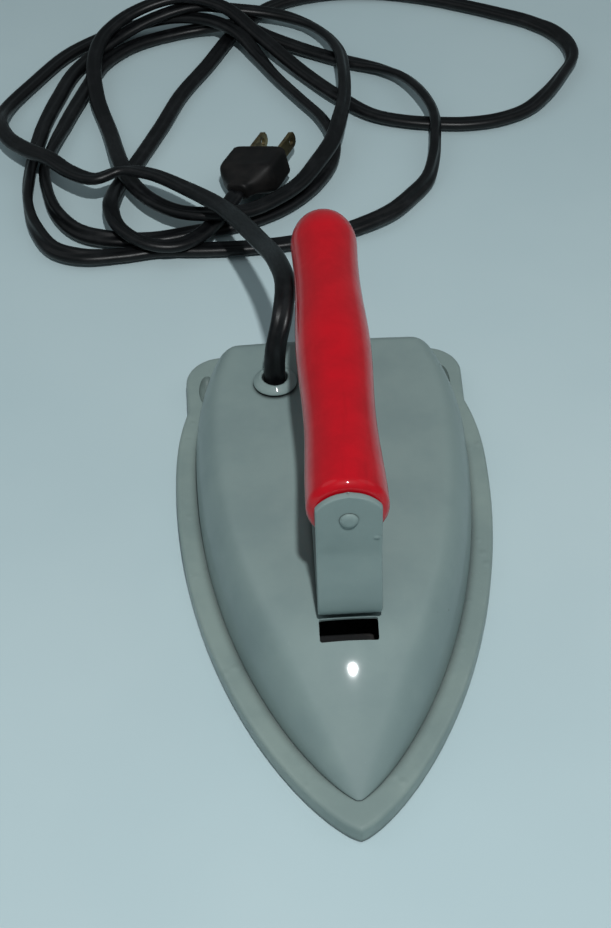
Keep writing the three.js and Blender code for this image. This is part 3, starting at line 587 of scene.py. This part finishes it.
# ---------------------------------------------------------------- cord
CORD_ROUTE = [
    (-16.6, 50, 29), (-16.6, 50, 38), (-16, 51.5, 47), (-13.5, 57, 55), (-12, 69, 58), (-14, 86, 54),
    (-19, 112, 42), (-27, 140, 31), (-34, 160, 23), (-46, 178, 18), (-61, 192, 16), (-72, 196, 15),
    (-82, 193, 14), (-92, 200, 13), (-101, 210, 13), (-110, 219, 11), (-119, 231, 9), (-124, 246, 7),
    (-123, 260, 4), (-113, 281, 3), (-100, 302, 3), (-87, 314, 3), (-70, 321, 5), (-52, 321, 8),
    (-36, 315, 9), (-24, 304, 8), (-17, 292, 5), (-10, 277, 4), (0, 258, 4), (8, 243, 4), (12, 228, 4),
    (10, 212, 4), (2, 196, 4), (-10, 184, 3), (-26, 175, 3), (-44, 171, 3), (-60, 168, 3),
    (-76, 168, 4), (-88, 173, 4), (-97, 185, 4), (-102, 201, 4), (-104, 217, 4), (-101, 235, 3),
    (-96, 255, 3), (-90, 275, 3), (-84, 293, 3), (-72, 307, 3), (-56, 315, 3), (-39, 318, 4),
    (-24, 312, 8), (-10, 305, 5), (6, 296, 3), (22, 286, 3), (34, 280, 3), (44, 269, 5), (51, 252, 7),
    (54, 237, 7), (53, 222, 6), (51, 209, 5), (47, 196, 4), (40, 186, 4), (32, 177, 4), (23, 171, 4),
    (10, 166, 3), (-5, 162, 3), (-22, 160, 3), (-40, 160, 3), (-57, 161, 3), (-72, 159, 3),
    (-86, 158, 4), (-97, 163, 4), (-105, 177, 4), (-109, 193, 4), (-110, 210, 4), (-109, 227, 3),
    (-107, 246, 3), (-102, 268, 3), (-95, 290, 3), (-80, 307, 6), (-63, 317, 10), (-44, 323, 12),
    (-26, 326, 8), (-9, 324, 6), (3, 318, 5), (12, 306, 6), (18, 288, 8), (19, 270, 9), (18, 250, 9),
    (15, 233, 10), (11, 217, 10), (5, 204, 10), (-3, 191, 9), (-12, 182, 9), (-23, 175, 9),
    (-37, 171, 11), (-50, 175, 10), (-61, 185, 9), (-69, 199, 8), (-73, 211, 8), (-79, 240, 4),
    (-85, 264, 5), (-87, 288, 8), (-83, 306, 10), (-70, 319, 13), (-50, 324, 16), (-31, 318, 14),
    (-16, 303, 8), (2, 278, 4), (16, 258, 4), (29, 245, 3), (42, 239, 3), (56, 236, 3), (68, 235, 3),
    (81, 237, 3), (93, 243, 3), (102, 252, 4), (111, 266, 4), (118, 280, 4), (117, 293, 4),
    (111, 305, 3), (103, 313, 3), (92, 320, 3), (80, 327, 3), (60, 337, 3), (36, 344, 3), (12, 344, 3),
    (-9, 336, 3), (-25, 317, 3), (-39, 288, 3), (-50, 266, 3), (-58, 243, 3), (-68, 217, 3),
    (-75, 197, 5), (-76, 182, 8), (-72, 168, 9), (-62, 159, 8), (-51, 158, 7), (-42, 163.5, 7),
    (-34.2, 174.2, 7.6), (-30, 182, 8.3), (-27.63, 186.23, 8.9),
]
# Degrees that the flat cord leans off lying flat, at points of the route.
CORD_LEAN = [
    (0, 0), (3, 5), (6, 20), (7, 25), (8, 10), (10, -15), (11, -30), (13, 0), (15, 20), (18, 0),
    (25, 0), (27, 45), (30, 45), (32, 20), (34, 0), (36, 0), (38, 50), (40, 80), (41, 60), (43, 10),
    (44, 0), (52, 0), (54, 40), (57, 75), (60, 50), (62, 15), (64, 0), (68, 0), (70, 40), (72, 85),
    (73, 60), (75, 15), (76, 0), (82, 0), (84, 40), (87, 55), (89, 25), (91, 0), (107, 0), (109, 10),
    (112, 0), (114, 5), (117, 55), (118, 45), (120, 10), (122, 0), (132, 0), (134, 30), (136, 10),
    (137, 0), (140, 0),
]
CORD_STEP = 2.2
CORD_FINENESS = 16                 # steps of the smooth line between two points of the route


def flat_section():
    """Outline of the two-core cord: two round cores with a shallow groove between them."""
    core = CORD_THICKNESS / 2
    middle = CORD_WIDTH / 2 - core
    outline = []
    for start in angles(28):
        angle = start + math.pi / 28
        side = math.copysign(1, math.cos(angle))
        wide = side * abs(math.cos(angle)) ** 0.85 * CORD_WIDTH / 2
        if abs(wide) > middle:
            thick = math.sqrt(max(0.0, core ** 2 - (abs(wide) - middle) ** 2))
        else:
            thick = core - 0.5 * (1 - (wide / middle) ** 2) ** 2
        outline.append((wide, math.copysign(thick, math.sin(angle))))
    return outline


def lean_at(index):
    for (a, low), (b, high) in zip(CORD_LEAN, CORD_LEAN[1:]):
        if index <= b:
            t = (index - a) / (b - a)
            return math.radians(low + (high - low) * t * t * (3 - 2 * t))
    return 0.0


def supply_cord():
    line = smooth_line([Vector(p) for p in CORD_ROUTE], CORD_FINENESS)
    centre, index, length = even(line, CORD_STEP)
    section, rings, path = flat_section(), [], []
    last = Vector((1, 0, 0))
    for i, point in enumerate(centre):
        ahead = (centre[min(i + 1, len(centre) - 1)] - centre[max(i - 1, 0)]).normalized()
        level = ahead.cross(Vector((0, 0, 1)))
        share = min(max((level.length - 0.2) / 0.4, 0), 1)
        held = (last - ahead * last.dot(ahead)).normalized()
        side = held
        if level.length > 1e-4:
            side = (held * (1 - share) + level.normalized() * share).normalized()
        last = side
        top = side.cross(ahead).normalized()
        lean = lean_at(index[i] / CORD_FINENESS)
        wide = side * math.cos(lean) + top * math.sin(lean)
        thin = top * math.cos(lean) - side * math.sin(lean)
        reach = abs(math.cos(lean)) * CORD_THICKNESS / 2 + abs(math.sin(lean)) * CORD_WIDTH / 2
        place = point.copy()
        place.z = max(place.z, reach + FLOOR_GAP)
        path.append(place)
        rings.append([tuple(place + wide * a + thin * b) for a, b in section])
    obj = new_object("cord", *loft(rings))
    size = len(section)
    uv = obj.data.uv_layers.new(name="around")
    for loop, corner in zip(obj.data.loops, uv.data):
        ring, spot = divmod(loop.vertex_index, size)
        corner.uv = (spot / size, ring * CORD_STEP * MM * 40)
    dress(obj, "cord_rubber", "supply_cord")
    return obj, [tuple(p * MM) for p in path], length * MM


# ---------------------------------------------------------------- plug
def plug_frame():
    """Turns plug sizes (across, along, up from its middle plane) into the row frame, in millimetres."""
    pose = (Matrix.Translation((PLUG_X, PLUG_Y, PLUG_LIFT)) @ Matrix.Rotation(PLUG_TURN, 4, "Z")
            @ Matrix.Rotation(-PLUG_ROLL, 4, "Y"))
    return lambda a, b, h: tuple(pose @ Vector((a, b, h)))


def ease(share):
    share = min(max(share, 0.0), 1.0)
    return share * share * (3 - 2 * share)


def round_off(share):
    """Fall of a quarter circle of radius 1 mm, at a share of the way to its end."""
    return 1 - math.sqrt(max(0.0, 1 - share ** 2))


def plug():
    """Moulded plug: a thick straight-fronted head that steps down to a narrow neck round the lead."""
    to_row = plug_frame()
    rings = []
    for i in range(45):
        share = i / 44
        neck = NECK_HALF_BROAD + 1.0 * ease(share / 0.25)
        half_wide = neck + (PLUG_WIDTH / 2 - 0.2 - neck) * ease((share - 0.06) / 0.42) ** 0.8
        half_tall = NECK_HALF_THICK + (PLUG_HEIGHT / 2 - 0.1 - NECK_HALF_THICK) * ease((share - 0.12) / 0.34)
        half_wide -= 0.5 * max(0.0, share - 0.6)
        close = max(0.0, (share - 0.95) / 0.05)
        start = max(0.0, 1 - share / 0.06)
        edge = round_off(close) + round_off(start)
        half_wide -= edge
        half_tall -= edge
        power = 2 / (3.2 + 4.0 * ease((share - 0.2) / 0.4))
        ring = []
        for angle in angles(64):
            c, s = math.cos(angle), math.sin(angle)
            a = math.copysign(abs(c) ** power, c) * half_wide
            h = math.copysign(abs(s) ** power, s) * half_tall
            dish = PLUG_DISH * ease((share - 0.4) / 0.2) * ease((0.98 - share) / 0.1)
            dish *= 1 - min(1, abs(a) / PLUG_DISH_HALF) ** 4
            h -= math.copysign(dish, h) * min(1, abs(h) / half_tall) ** 6
            ring.append(to_row(a, PLUG_START + share * (PLUG_LENGTH - PLUG_START), h))
        rings.append(ring)
    body = new_object("plug", *loft(rings))
    sharpen(body, 50)
    dress(body, "plug_rubber", "plug_body")
    pieces = [body]
    for name, side in (("left", -1), ("right", 1)):
        pieces.append(plug_blade(name, side * BLADE_SPACING / 2, to_row))
    return pieces


def plug_blade(name, across, to_row):
    half = BLADE_WIDTH / 2
    start, tip = PLUG_LENGTH - BLADE_SOCKET + 0.4, PLUG_LENGTH + BLADE_LENGTH
    outline = [(start, -half), (tip - 2.2, -half), (tip - 0.6, 0.9 - half), (tip, 2.2 - half),
               (tip, half - 2.2), (tip - 0.6, half - 0.9), (tip - 2.2, half), (start, half)]
    rings = []
    for off, inset in ((-1, 0.25), (-0.72, 0), (0.72, 0), (1, 0.25)):
        ring = []
        for along, up in outline:
            a = across + off * BLADE_THICKNESS / 2
            b = along - inset if along > PLUG_LENGTH else along + inset
            ring.append(to_row(a, b, up - math.copysign(inset, up)))
        rings.append(ring)
    blade = new_object(f"blade_{name}", *loft(rings))
    middle = tip - BLADE_HOLE_BACK
    cutter = new_object("cutter", *loft([
        [to_row(across + reach, middle + BLADE_HOLE_RADIUS * math.cos(t), BLADE_HOLE_RADIUS * math.sin(t))
         for t in angles(24)] for reach in (-3, 3)]))
    carve(blade, [cutter])
    sharpen(blade, 25)
    return dress(blade, "blade_brass", f"plug_blade_{name}")


# ---------------------------------------------------------------- outlines
def pointed_half_width(distance, length, half_width, fullness):
    left = 1 - min(distance / length, 1)
    return half_width * max(0.0, 1 - left ** 2.1) ** fullness


def sole_half_width(station):
    if station <= WIDEST_STATION:
        return pointed_half_width(station, WIDEST_STATION, SOLE_HALF_WIDTH, SOLE_FULLNESS)
    back = (station - WIDEST_STATION) / (NECK_STATION - WIDEST_STATION)
    return SOLE_HALF_WIDTH - (SOLE_HALF_WIDTH - NECK_HALF_WIDTH) * back ** 2.2


def sole_ring(inset, height):
    """The sole's outline drawn in by an inset, the same number of points each time."""
    def side(station):
        slope = (sole_half_width(station + 0.05) - sole_half_width(max(station - 0.05, 0.0))) / 0.1
        return sole_half_width(station) - inset * math.hypot(1, slope)
    front, back = 0.0, 60.0
    if inset > 0:
        for _ in range(50):
            middle = (front + back) / 2
            front, back = (front, middle) if side(middle) > 0 else (middle, back)
        front = back
    right = []
    for i in range(110):
        share = (i / 109) ** 1.7
        station = front + (NECK_STATION - front) * share
        right.append((max(side(station), 0.0) if i else 0.0, y_at(station)))
    radius = LUG_RADIUS - inset
    cx, cy = LUG_HALF_WIDTH - LUG_RADIUS, y_at(SOLE_LENGTH - LUG_RADIUS)
    for i in range(24):
        angle = i / 23 * math.pi / 2
        right.append((cx + radius * math.cos(angle), cy + radius * math.sin(angle)))
    left = [(-x, y) for x, y in reversed(right[1:])]
    return [(x, y, height) for x, y in right + left]


def stack_ring(height):
    half, front, rear = PLATFORM_HALF_WIDTH, PLATFORM_FRONT, PLATFORM_REAR
    right = []
    for i in range(30):
        distance = (WIDEST_STATION - front) * (i + 0.1) / 29.1
        x = pointed_half_width(distance, WIDEST_STATION - front, half, COVER_FULLNESS)
        right.append((x, y_at(front + distance)))
    right += [(half - 2, y_at(rear - 4)), (half - 6, y_at(rear))]
    return [(x, y, height) for x, y in right + [(-x, y) for x, y in reversed(right)]]


def sole():
    edge = 1.3
    rings = [sole_ring(0.8, 0.0), sole_ring(0.25, 0.2), sole_ring(0.0, 0.8)]
    rings += [sole_ring(0.0, z) for z in (2.0, 3.6, LIP_THICKNESS - edge)]
    for k in range(1, 6):
        turn = k / 5 * math.pi / 2
        rings.append(sole_ring(edge * (1 - math.cos(turn)), LIP_THICKNESS - edge * (1 - math.sin(turn))))
    rings += [sole_ring(inset, LIP_THICKNESS) for inset in (2.6, 4.2, 6.0)]
    obj = new_object("sole", *loft(rings))
    land = new_object("land", *loft([stack_ring(LIP_THICKNESS - 1), stack_ring(PLATFORM_TOP)]))
    carve(obj, [land], "UNION")
    stations = (*TALL_STUDS.values(), SHORT_STUD)
    cutters = [cylinder("seat", STUD_HOLE_RADIUS, 3.5, 12, 0, y_at(station)) for station in stations]
    for side in (-1, 1):
        cutters.append(hollow(side))
    carve(obj, cutters)
    sharpen(obj, 40)
    return dress(obj, "sole_enamel", "sole_casting")


def hollow(side):
    """Leaf-shaped hollow in the casting between the cover's rear corner and the heel lug."""
    across, along, deep = HOLLOW_SIZE
    rings = []
    for i in range(1, 16):
        polar = math.pi * i / 16
        rings.append([(side * HOLLOW_X + across * math.sin(polar) * math.cos(t),
                       y_at(COVER_REAR + 1) + along * math.sin(polar) * math.sin(t),
                       LIP_THICKNESS + deep * math.cos(polar)) for t in angles(32)])
    return new_object("hollow", *loft(rings[::-1]))


# ---------------------------------------------------------------- cover
def cover_half_width(station):
    if station <= WIDEST_STATION:
        from_front = max(station - COVER_FRONT, 0)
        return pointed_half_width(from_front, WIDEST_STATION - COVER_FRONT, COVER_HALF_WIDTH, COVER_FULLNESS)
    back = (station - WIDEST_STATION) / (NECK_STATION - WIDEST_STATION)
    return COVER_HALF_WIDTH - COVER_REAR_TAPER * back ** 2


def cover_slope(station):
    return (cover_half_width(station + 0.1) - cover_half_width(station - 0.1)) / 0.2


def cover_edge(station, inset):
    side = cover_half_width(station) - inset * math.hypot(1, cover_slope(station))
    radius = COVER_CORNER - inset
    into = station - (COVER_REAR - COVER_CORNER)
    if into <= 0:
        return max(side, 0.0)
    return side - radius + math.sqrt(max(0.0, radius ** 2 - into ** 2))


def ridge(station):
    ramp = COVER_FOOT + NOSE_SLOPE * (station - COVER_FRONT)
    return COVER_TOP - CREST_SOFTNESS * math.log(1 + math.exp((COVER_TOP - ramp) / CREST_SOFTNESS))


def crown_share(station):
    return CROWN_FRONT + (CROWN_REAR - CROWN_FRONT) * ease((station - CROWN_FROM) / (CROWN_TO - CROWN_FROM))


def cover_height(x, station, inset):
    lean = math.hypot(1, cover_slope(station))
    middle = cover_half_width(station) / lean
    from_side = (cover_half_width(station) - abs(x)) / lean - inset
    from_rear = COVER_REAR - station - inset
    radius = COVER_CORNER - inset
    corner = math.hypot(max(radius - from_side, 0), max(radius - from_rear, 0))
    depth = min(max(radius - corner, 0) + max(min(from_side, from_rear) - radius, 0), 60)
    run = SHOULDER_RUN * middle / (middle + SHOULDER_RUN)
    rest = 1 - min(depth / run, 1)
    across = min(abs(x) / max(cover_half_width(station), 0.01), 1)
    rise = (ridge(station) - COVER_FOOT) * (1 - crown_share(station) * across ** 2) - inset
    return COVER_FOOT + rise * (1 - rest ** 2.2) ** (1 / 2.2)


def cover_skin(inset, front, rows, columns):
    rear = COVER_REAR - inset
    points = []
    for i in range(rows + 1):
        share = 0.2 * i / rows + 0.8 * (1 - math.cos(math.pi * i / rows)) / 2
        station = front + (rear - front) * share
        half = cover_edge(station, inset)
        for j in range(columns + 1):
            x = half * math.sin((j / columns - 0.5) * math.pi)
            rim = i in (0, rows) or j in (0, columns)
            z = COVER_FOOT if rim else max(cover_height(x, station, inset), COVER_FOOT)
            points.append((x, y_at(station), z))
    return points


def cover():
    rows, columns = 180, 96
    outer = cover_skin(0, COVER_FRONT + 0.25, rows, columns)
    inner = cover_skin(COVER_WALL, COVER_FRONT + 1.9, rows, columns)
    offset, width = len(outer), columns + 1
    faces = []
    for i in range(rows):
        for j in range(columns):
            a = i * width + j
            quad = (a, a + 1, a + 1 + width, a + width)
            faces.append(quad)
            faces.append(tuple(offset + q for q in reversed(quad)))
    rim = list(range(columns)) + [i * width + columns for i in range(rows)]
    rim += [rows * width + j for j in range(columns, 0, -1)] + [i * width for i in range(rows, 0, -1)]
    for a, b in zip(rim, rim[1:] + rim[:1]):
        faces.append((a, offset + a, offset + b, b))
    obj = new_object("cover", outer + inner, faces)
    cutters = [window_cutter()]
    cutters.append(cylinder("collar_hole", 5.5, 25, 40, COLLAR_X, y_at(COLLAR_STATION)))
    cutters += [cylinder("stud_hole", STUD_HOLE_RADIUS, 25, 40, 0, y_at(s)) for s in TALL_STUDS.values()]
    carve(obj, cutters)
    sharpen(obj, 38)
    window_rim()
    return dress(obj, "cover_enamel", "cover_shell")


def window_rim():
    """Rolled rim that the shears left along the window's rear edge, thick with paint."""
    radius, half, rings = 0.42, WINDOW_WIDTH / 2 + 0.15, []
    for i in range(41):
        x = half * math.sin((i / 40 - 0.5) * math.pi)
        size = radius * math.sqrt(max(0.02, 1 - abs(x / half) ** 8))
        y, z = y_at(WINDOW_REAR + 0.2), cover_height(x, WINDOW_REAR + 0.2, 0) - 0.22
        rings.append([(x, y + size * math.cos(t), z + size * math.sin(t)) for t in angles(16)])
    dress(new_object("window_rim", *loft(rings)), "cover_enamel")


def window_cutter():
    """Rectangle with small corner radii, cut straight down."""
    half, radius = WINDOW_WIDTH / 2, 0.7
    outline = []
    for sx, sy, start in ((1, 1, 0), (-1, 1, 1), (-1, -1, 2), (1, -1, 3)):
        for k in range(7):
            angle = (start + k / 6) * math.pi / 2
            cx = sx * (half - radius)
            cy = y_at(WINDOW_REAR - radius if sy > 0 else WINDOW_FRONT + radius)
            outline.append((cx + radius * math.cos(angle), cy + radius * math.sin(angle)))
    return new_object("window", *loft([[(x, y, z) for x, y in outline] for z in (20, 40)]))


# ---------------------------------------------------------------- collar, strap, grip
def collar():
    top = COVER_TOP + 0.3
    profile = [(COLLAR_BORE, 28), (5.2, 28), (5.2, top), (COLLAR_RADIUS - 0.35, top + 0.35)]
    shape = [Vector((COLLAR_RADIUS - 0.35, top + 0.35, 0)), Vector((COLLAR_RADIUS, top + 0.75, 0)),
             Vector((COLLAR_RADIUS - 0.35, top + 1.4, 0)), Vector((COLLAR_RADIUS - 1.4, top + 2.25, 0)),
             Vector((COLLAR_BORE + 0.9, top + 2.7, 0)), Vector((COLLAR_BORE + 0.15, top + 2.5, 0)),
             Vector((COLLAR_BORE, top + 1.9, 0))]
    profile += [(p.x, p.y) for p in smooth_line(shape, 6)[1:]]
    obj = turned_object("cord_collar", profile, (COLLAR_X, y_at(COLLAR_STATION), 0), 72,
                        wobble=lambda angle, height: 0.07 * math.sin(3 * angle + height))
    return dress(obj, "cover_enamel", "cord_bushing")


STRAP_LINE = [
    (53.4, 78.4), (53.4, 70), (53.4, 61), (53.3, 56), (52.4, 51), (51.2, 46), (50.4, 41.5), (50.2, 38),
    (50.6, 35.9), (51.9, 34.6), (54.2, 34.2), (58, 34.65), (64, 35.15), (72, FOOT_MIDDLE),
    (90, FOOT_MIDDLE), (106, FOOT_MIDDLE),
]


def strap_section(half_width):
    """Rolled strip edge: a flat rectangle with round corners."""
    half, radius = STRAP_THICKNESS / 2, min(0.7, half_width * 0.9)
    ring = []
    for sx, sy, start in ((1, 1, 0), (-1, 1, 1), (-1, -1, 2), (1, -1, 3)):
        for k in range(6):
            angle = (start + k / 5) * math.pi / 2
            ring.append((sx * (half_width - radius) + radius * math.cos(angle),
                         sy * (half - radius * 0.8) + radius * 0.8 * math.sin(angle)))
        flat = 5 if sy > 0 and sx > 0 or sy < 0 and sx < 0 else 0
        for k in range(1, flat + 1):
            share = k / (flat + 1)
            ring.append((sx * (half_width - radius) * (1 - 2 * share), sy * half))
    return ring


def strap():
    line = smooth_line([Vector((0, y_at(s), z)) for s, z in STRAP_LINE], 20)
    centre, _, _ = even(line, 0.5)
    arch_radius = math.hypot(STRAP_WIDTH / 2, ARCH_DROP + ARCH_SPRING)
    rings = []
    for i, point in enumerate(centre):
        ahead = (centre[min(i + 1, len(centre) - 1)] - centre[max(i - 1, 0)]).normalized()
        face = Vector((1, 0, 0)).cross(ahead)
        half = STRAP_WIDTH / 2
        if point.z > HANDLE_AXIS + ARCH_SPRING:
            rise = min(point.z - HANDLE_AXIS + ARCH_DROP, arch_radius - 0.004)
            half = max(0.75, math.sqrt(arch_radius ** 2 - rise ** 2))
        rings.append([tuple(point + Vector((HANDLE_X + a, 0, 0)) + face * b) for a, b in strap_section(half)])
    obj = new_object("strap", *loft(rings))
    cutters = [cylinder("hole", STUD_HOLE_RADIUS, 30, 40, 0, y_at(s)) for s in TALL_STUDS.values()]
    carve(obj, cutters)
    sharpen(obj, 42)
    return dress(obj, "cover_enamel", "handle_strap")


def grip_radius(along):
    return HANDLE_RADIUS + HANDLE_WAVE * math.cos(4 * math.pi * (along - 0.02)) - HANDLE_TAPER * along ** 3


def grip():
    profile = [(0, HANDLE_BORE_DEPTH), (HANDLE_BORE, HANDLE_BORE_DEPTH - 2), (HANDLE_BORE, 0)]
    for k in range(9):
        turn = k / 8 * math.pi / 2
        radius = grip_radius(0.02) - GRIP_EDGE * (1 - math.sin(turn))
        profile.append((radius, GRIP_EDGE * (1 - math.cos(turn))))
    for k in range(1, 91):
        along = 0.022 + (DOME_START - 0.022) * k / 90
        profile.append((grip_radius(along), along * HANDLE_LENGTH))
    for k in range(1, 19):
        turn = k / 18 * math.pi / 2
        radius = grip_radius(DOME_START) * max(0.0, math.cos(turn)) ** 0.65
        along = DOME_START + (1 - DOME_START) * math.sin(turn)
        profile.append((radius if k < 18 else 0, along * HANDLE_LENGTH))
    obj = turned_object("grip", profile, (HANDLE_X, y_at(HANDLE_FRONT), HANDLE_AXIS), 96, "Y",
                        lambda angle, height: 0.06 * math.sin(2 * angle + height * 0.07))
    return dress(obj, "grip_lacquer", "handle_grip")


def grip_screw():
    """Round-headed screw through the strap, its slot filled by paint."""
    head, radius = -(STRAP_THICKNESS + 0.35), SCREW_HEAD / 2
    profile = [(0, HANDLE_BORE_DEPTH - 4), (SCREW_SHANK_RADIUS, HANDLE_BORE_DEPTH - 8),
               (SCREW_SHANK_RADIUS, head + 0.45), (radius - 0.5, head + 0.45),
               (radius - 0.1, head + 0.3), (radius, head)]
    for k in range(1, 15):
        turn = k / 14 * math.pi / 2
        height = head - SCREW_HEAD_RISE * 0.75 * math.sin(turn)
        profile.append((radius * math.cos(turn) ** 0.6 if k < 14 else 0, height))
    obj = turned_object("grip_screw", profile, (HANDLE_X, y_at(HANDLE_FRONT), HANDLE_AXIS), 48, "Y")
    return dress(obj, "cover_enamel", "handle_screw")


# ---------------------------------------------------------------- studs, nuts and washers
def node_span(node):
    """Bottom, top and centre of a CAD node, in millimetres."""
    low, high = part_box(node)
    return low.z / MM, high.z / MM, (low.x + high.x) / 2 / MM, (low.y + high.y) / 2 / MM


def hex_nut(name, node):
    bottom, top, x, y = node_span(node)
    rings = []
    for height in (0.0, 0.35, top - bottom - 0.9, top - bottom):
        ring = []
        for angle in angles(72):
            spoke = (angle + math.pi / 6) % (math.pi / 3) - math.pi / 6
            radius = NUT_FLATS / 2 / math.cos(spoke)
            limit = NUT_FLATS / 2 * 1.02 + 1.6 * min(height * 1.5 + 0.1, top - bottom - height)
            radius = min(radius, limit)
            ring.append((x + radius * math.sin(angle), y + radius * math.cos(angle), bottom + height))
        rings.append(ring[::-1])
    bore = []
    for ring in (rings[-1], rings[0]):
        shares = [NUT_BORE / math.hypot(px - x, py - y) for px, py, _ in ring]
        bore.append([(x + (px - x) * t, y + (py - y) * t, pz) for t, (px, py, pz) in zip(shares, ring)])
    obj = new_object(name, *loft(rings + bore, closed_path=True))
    sharpen(obj, 22)
    return dress(obj, "plated_steel", node)


def washer(name, node):
    bottom, top, x, y = node_span(node)
    bore, rim = WASHER_BORE, WASHER_RADIUS
    profile = [(bore, bottom), (rim - 0.2, bottom), (rim, bottom + 0.2), (rim, top - 0.2), (rim - 0.2, top),
               (bore + 0.15, top), (bore, top - 0.15)]
    obj = turned_object(name, profile, (x, y, 0), 64)
    return dress(obj, "plated_steel", node)


def stud(name, node):
    """Threaded stud: a shallow single-start thread over its whole length."""
    bottom, top, x, y = node_span(node)
    segments, rings = 24, []
    count = round((top - bottom) / THREAD_STEP)
    for i in range(count + 1):
        height = bottom + (top - bottom) * i / count
        close = min(height - bottom, top - height)
        ring = []
        for k in range(segments):
            angle = 2 * math.pi * k / segments
            phase = (height / THREAD_PITCH - k / segments) % 1
            radius = STUD_RADIUS - 0.02 - THREAD_DEPTH * abs(2 * phase - 1) - max(0.0, 0.5 - close)
            ring.append((x + radius * math.cos(angle), y + radius * math.sin(angle), height))
        rings.append(ring)
    obj = new_object(name, *loft(rings))
    sharpen(obj, 60)
    return dress(obj, "plated_steel", node)


def floor():
    half, rows, points = FLOOR_HALF, 24, []
    for i in range(rows + 1):
        for j in range(rows + 1):
            points.append((half * (2 * j / rows - 1), half * (2 * i / rows - 1), -FLOOR_GAP))
    starts = [i * (rows + 1) + j for i in range(rows) for j in range(rows)]
    faces = [(a, a + 1, a + rows + 2, a + rows + 1) for a in starts]
    obj = new_object("floor", points, faces)
    obj.data.materials.append(floor_paper())


# ---------------------------------------------------------------- assembly
def dress_cad_nodes():
    """Every CAD node that stays gets the procedural material of its slot."""
    kept = {
        "plated_steel": ["stud_short", "plate_nut_front", "plate_nut_rear", "plate_nut_short", "bushing_nut",
                         "clamp_screw_left", "clamp_screw_right"],
        "bare_steel": ["pressure_plate", "cord_clamp"],
        "blade_brass": ["element_tab_left", "element_tab_right",
                        "terminal_screw_left", "terminal_screw_right"],
        "mica_sheet": ["mica_lower", "mica_upper"],
        "element_ribbon": ["heating_ribbon"],
        "steatite": ["terminal_block"],
        "glass_sleeve": ["lead_left", "lead_right"],
        "cord_rubber": ["inner_cord"],
    }
    for slot, names in kept.items():
        for name in names:
            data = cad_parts[name].data
            data.materials.clear()
            data.materials.append(MATERIALS[slot])


bpy.context.scene.view_settings.view_transform = "Standard"
camera()
lights()
cord, cord_path, cord_length = supply_cord()
plug_pieces = plug()
sole()
cover()
collar()
strap()
grip()
grip_screw()
for end in TALL_STUDS:
    stud(f"stud_{end}_threaded", f"stud_{end}")
    washer(f"washer_{end}", f"cover_washer_{end}")
    hex_nut(f"nut_{end}", f"cover_nut_{end}")
dress_cad_nodes()
floor()
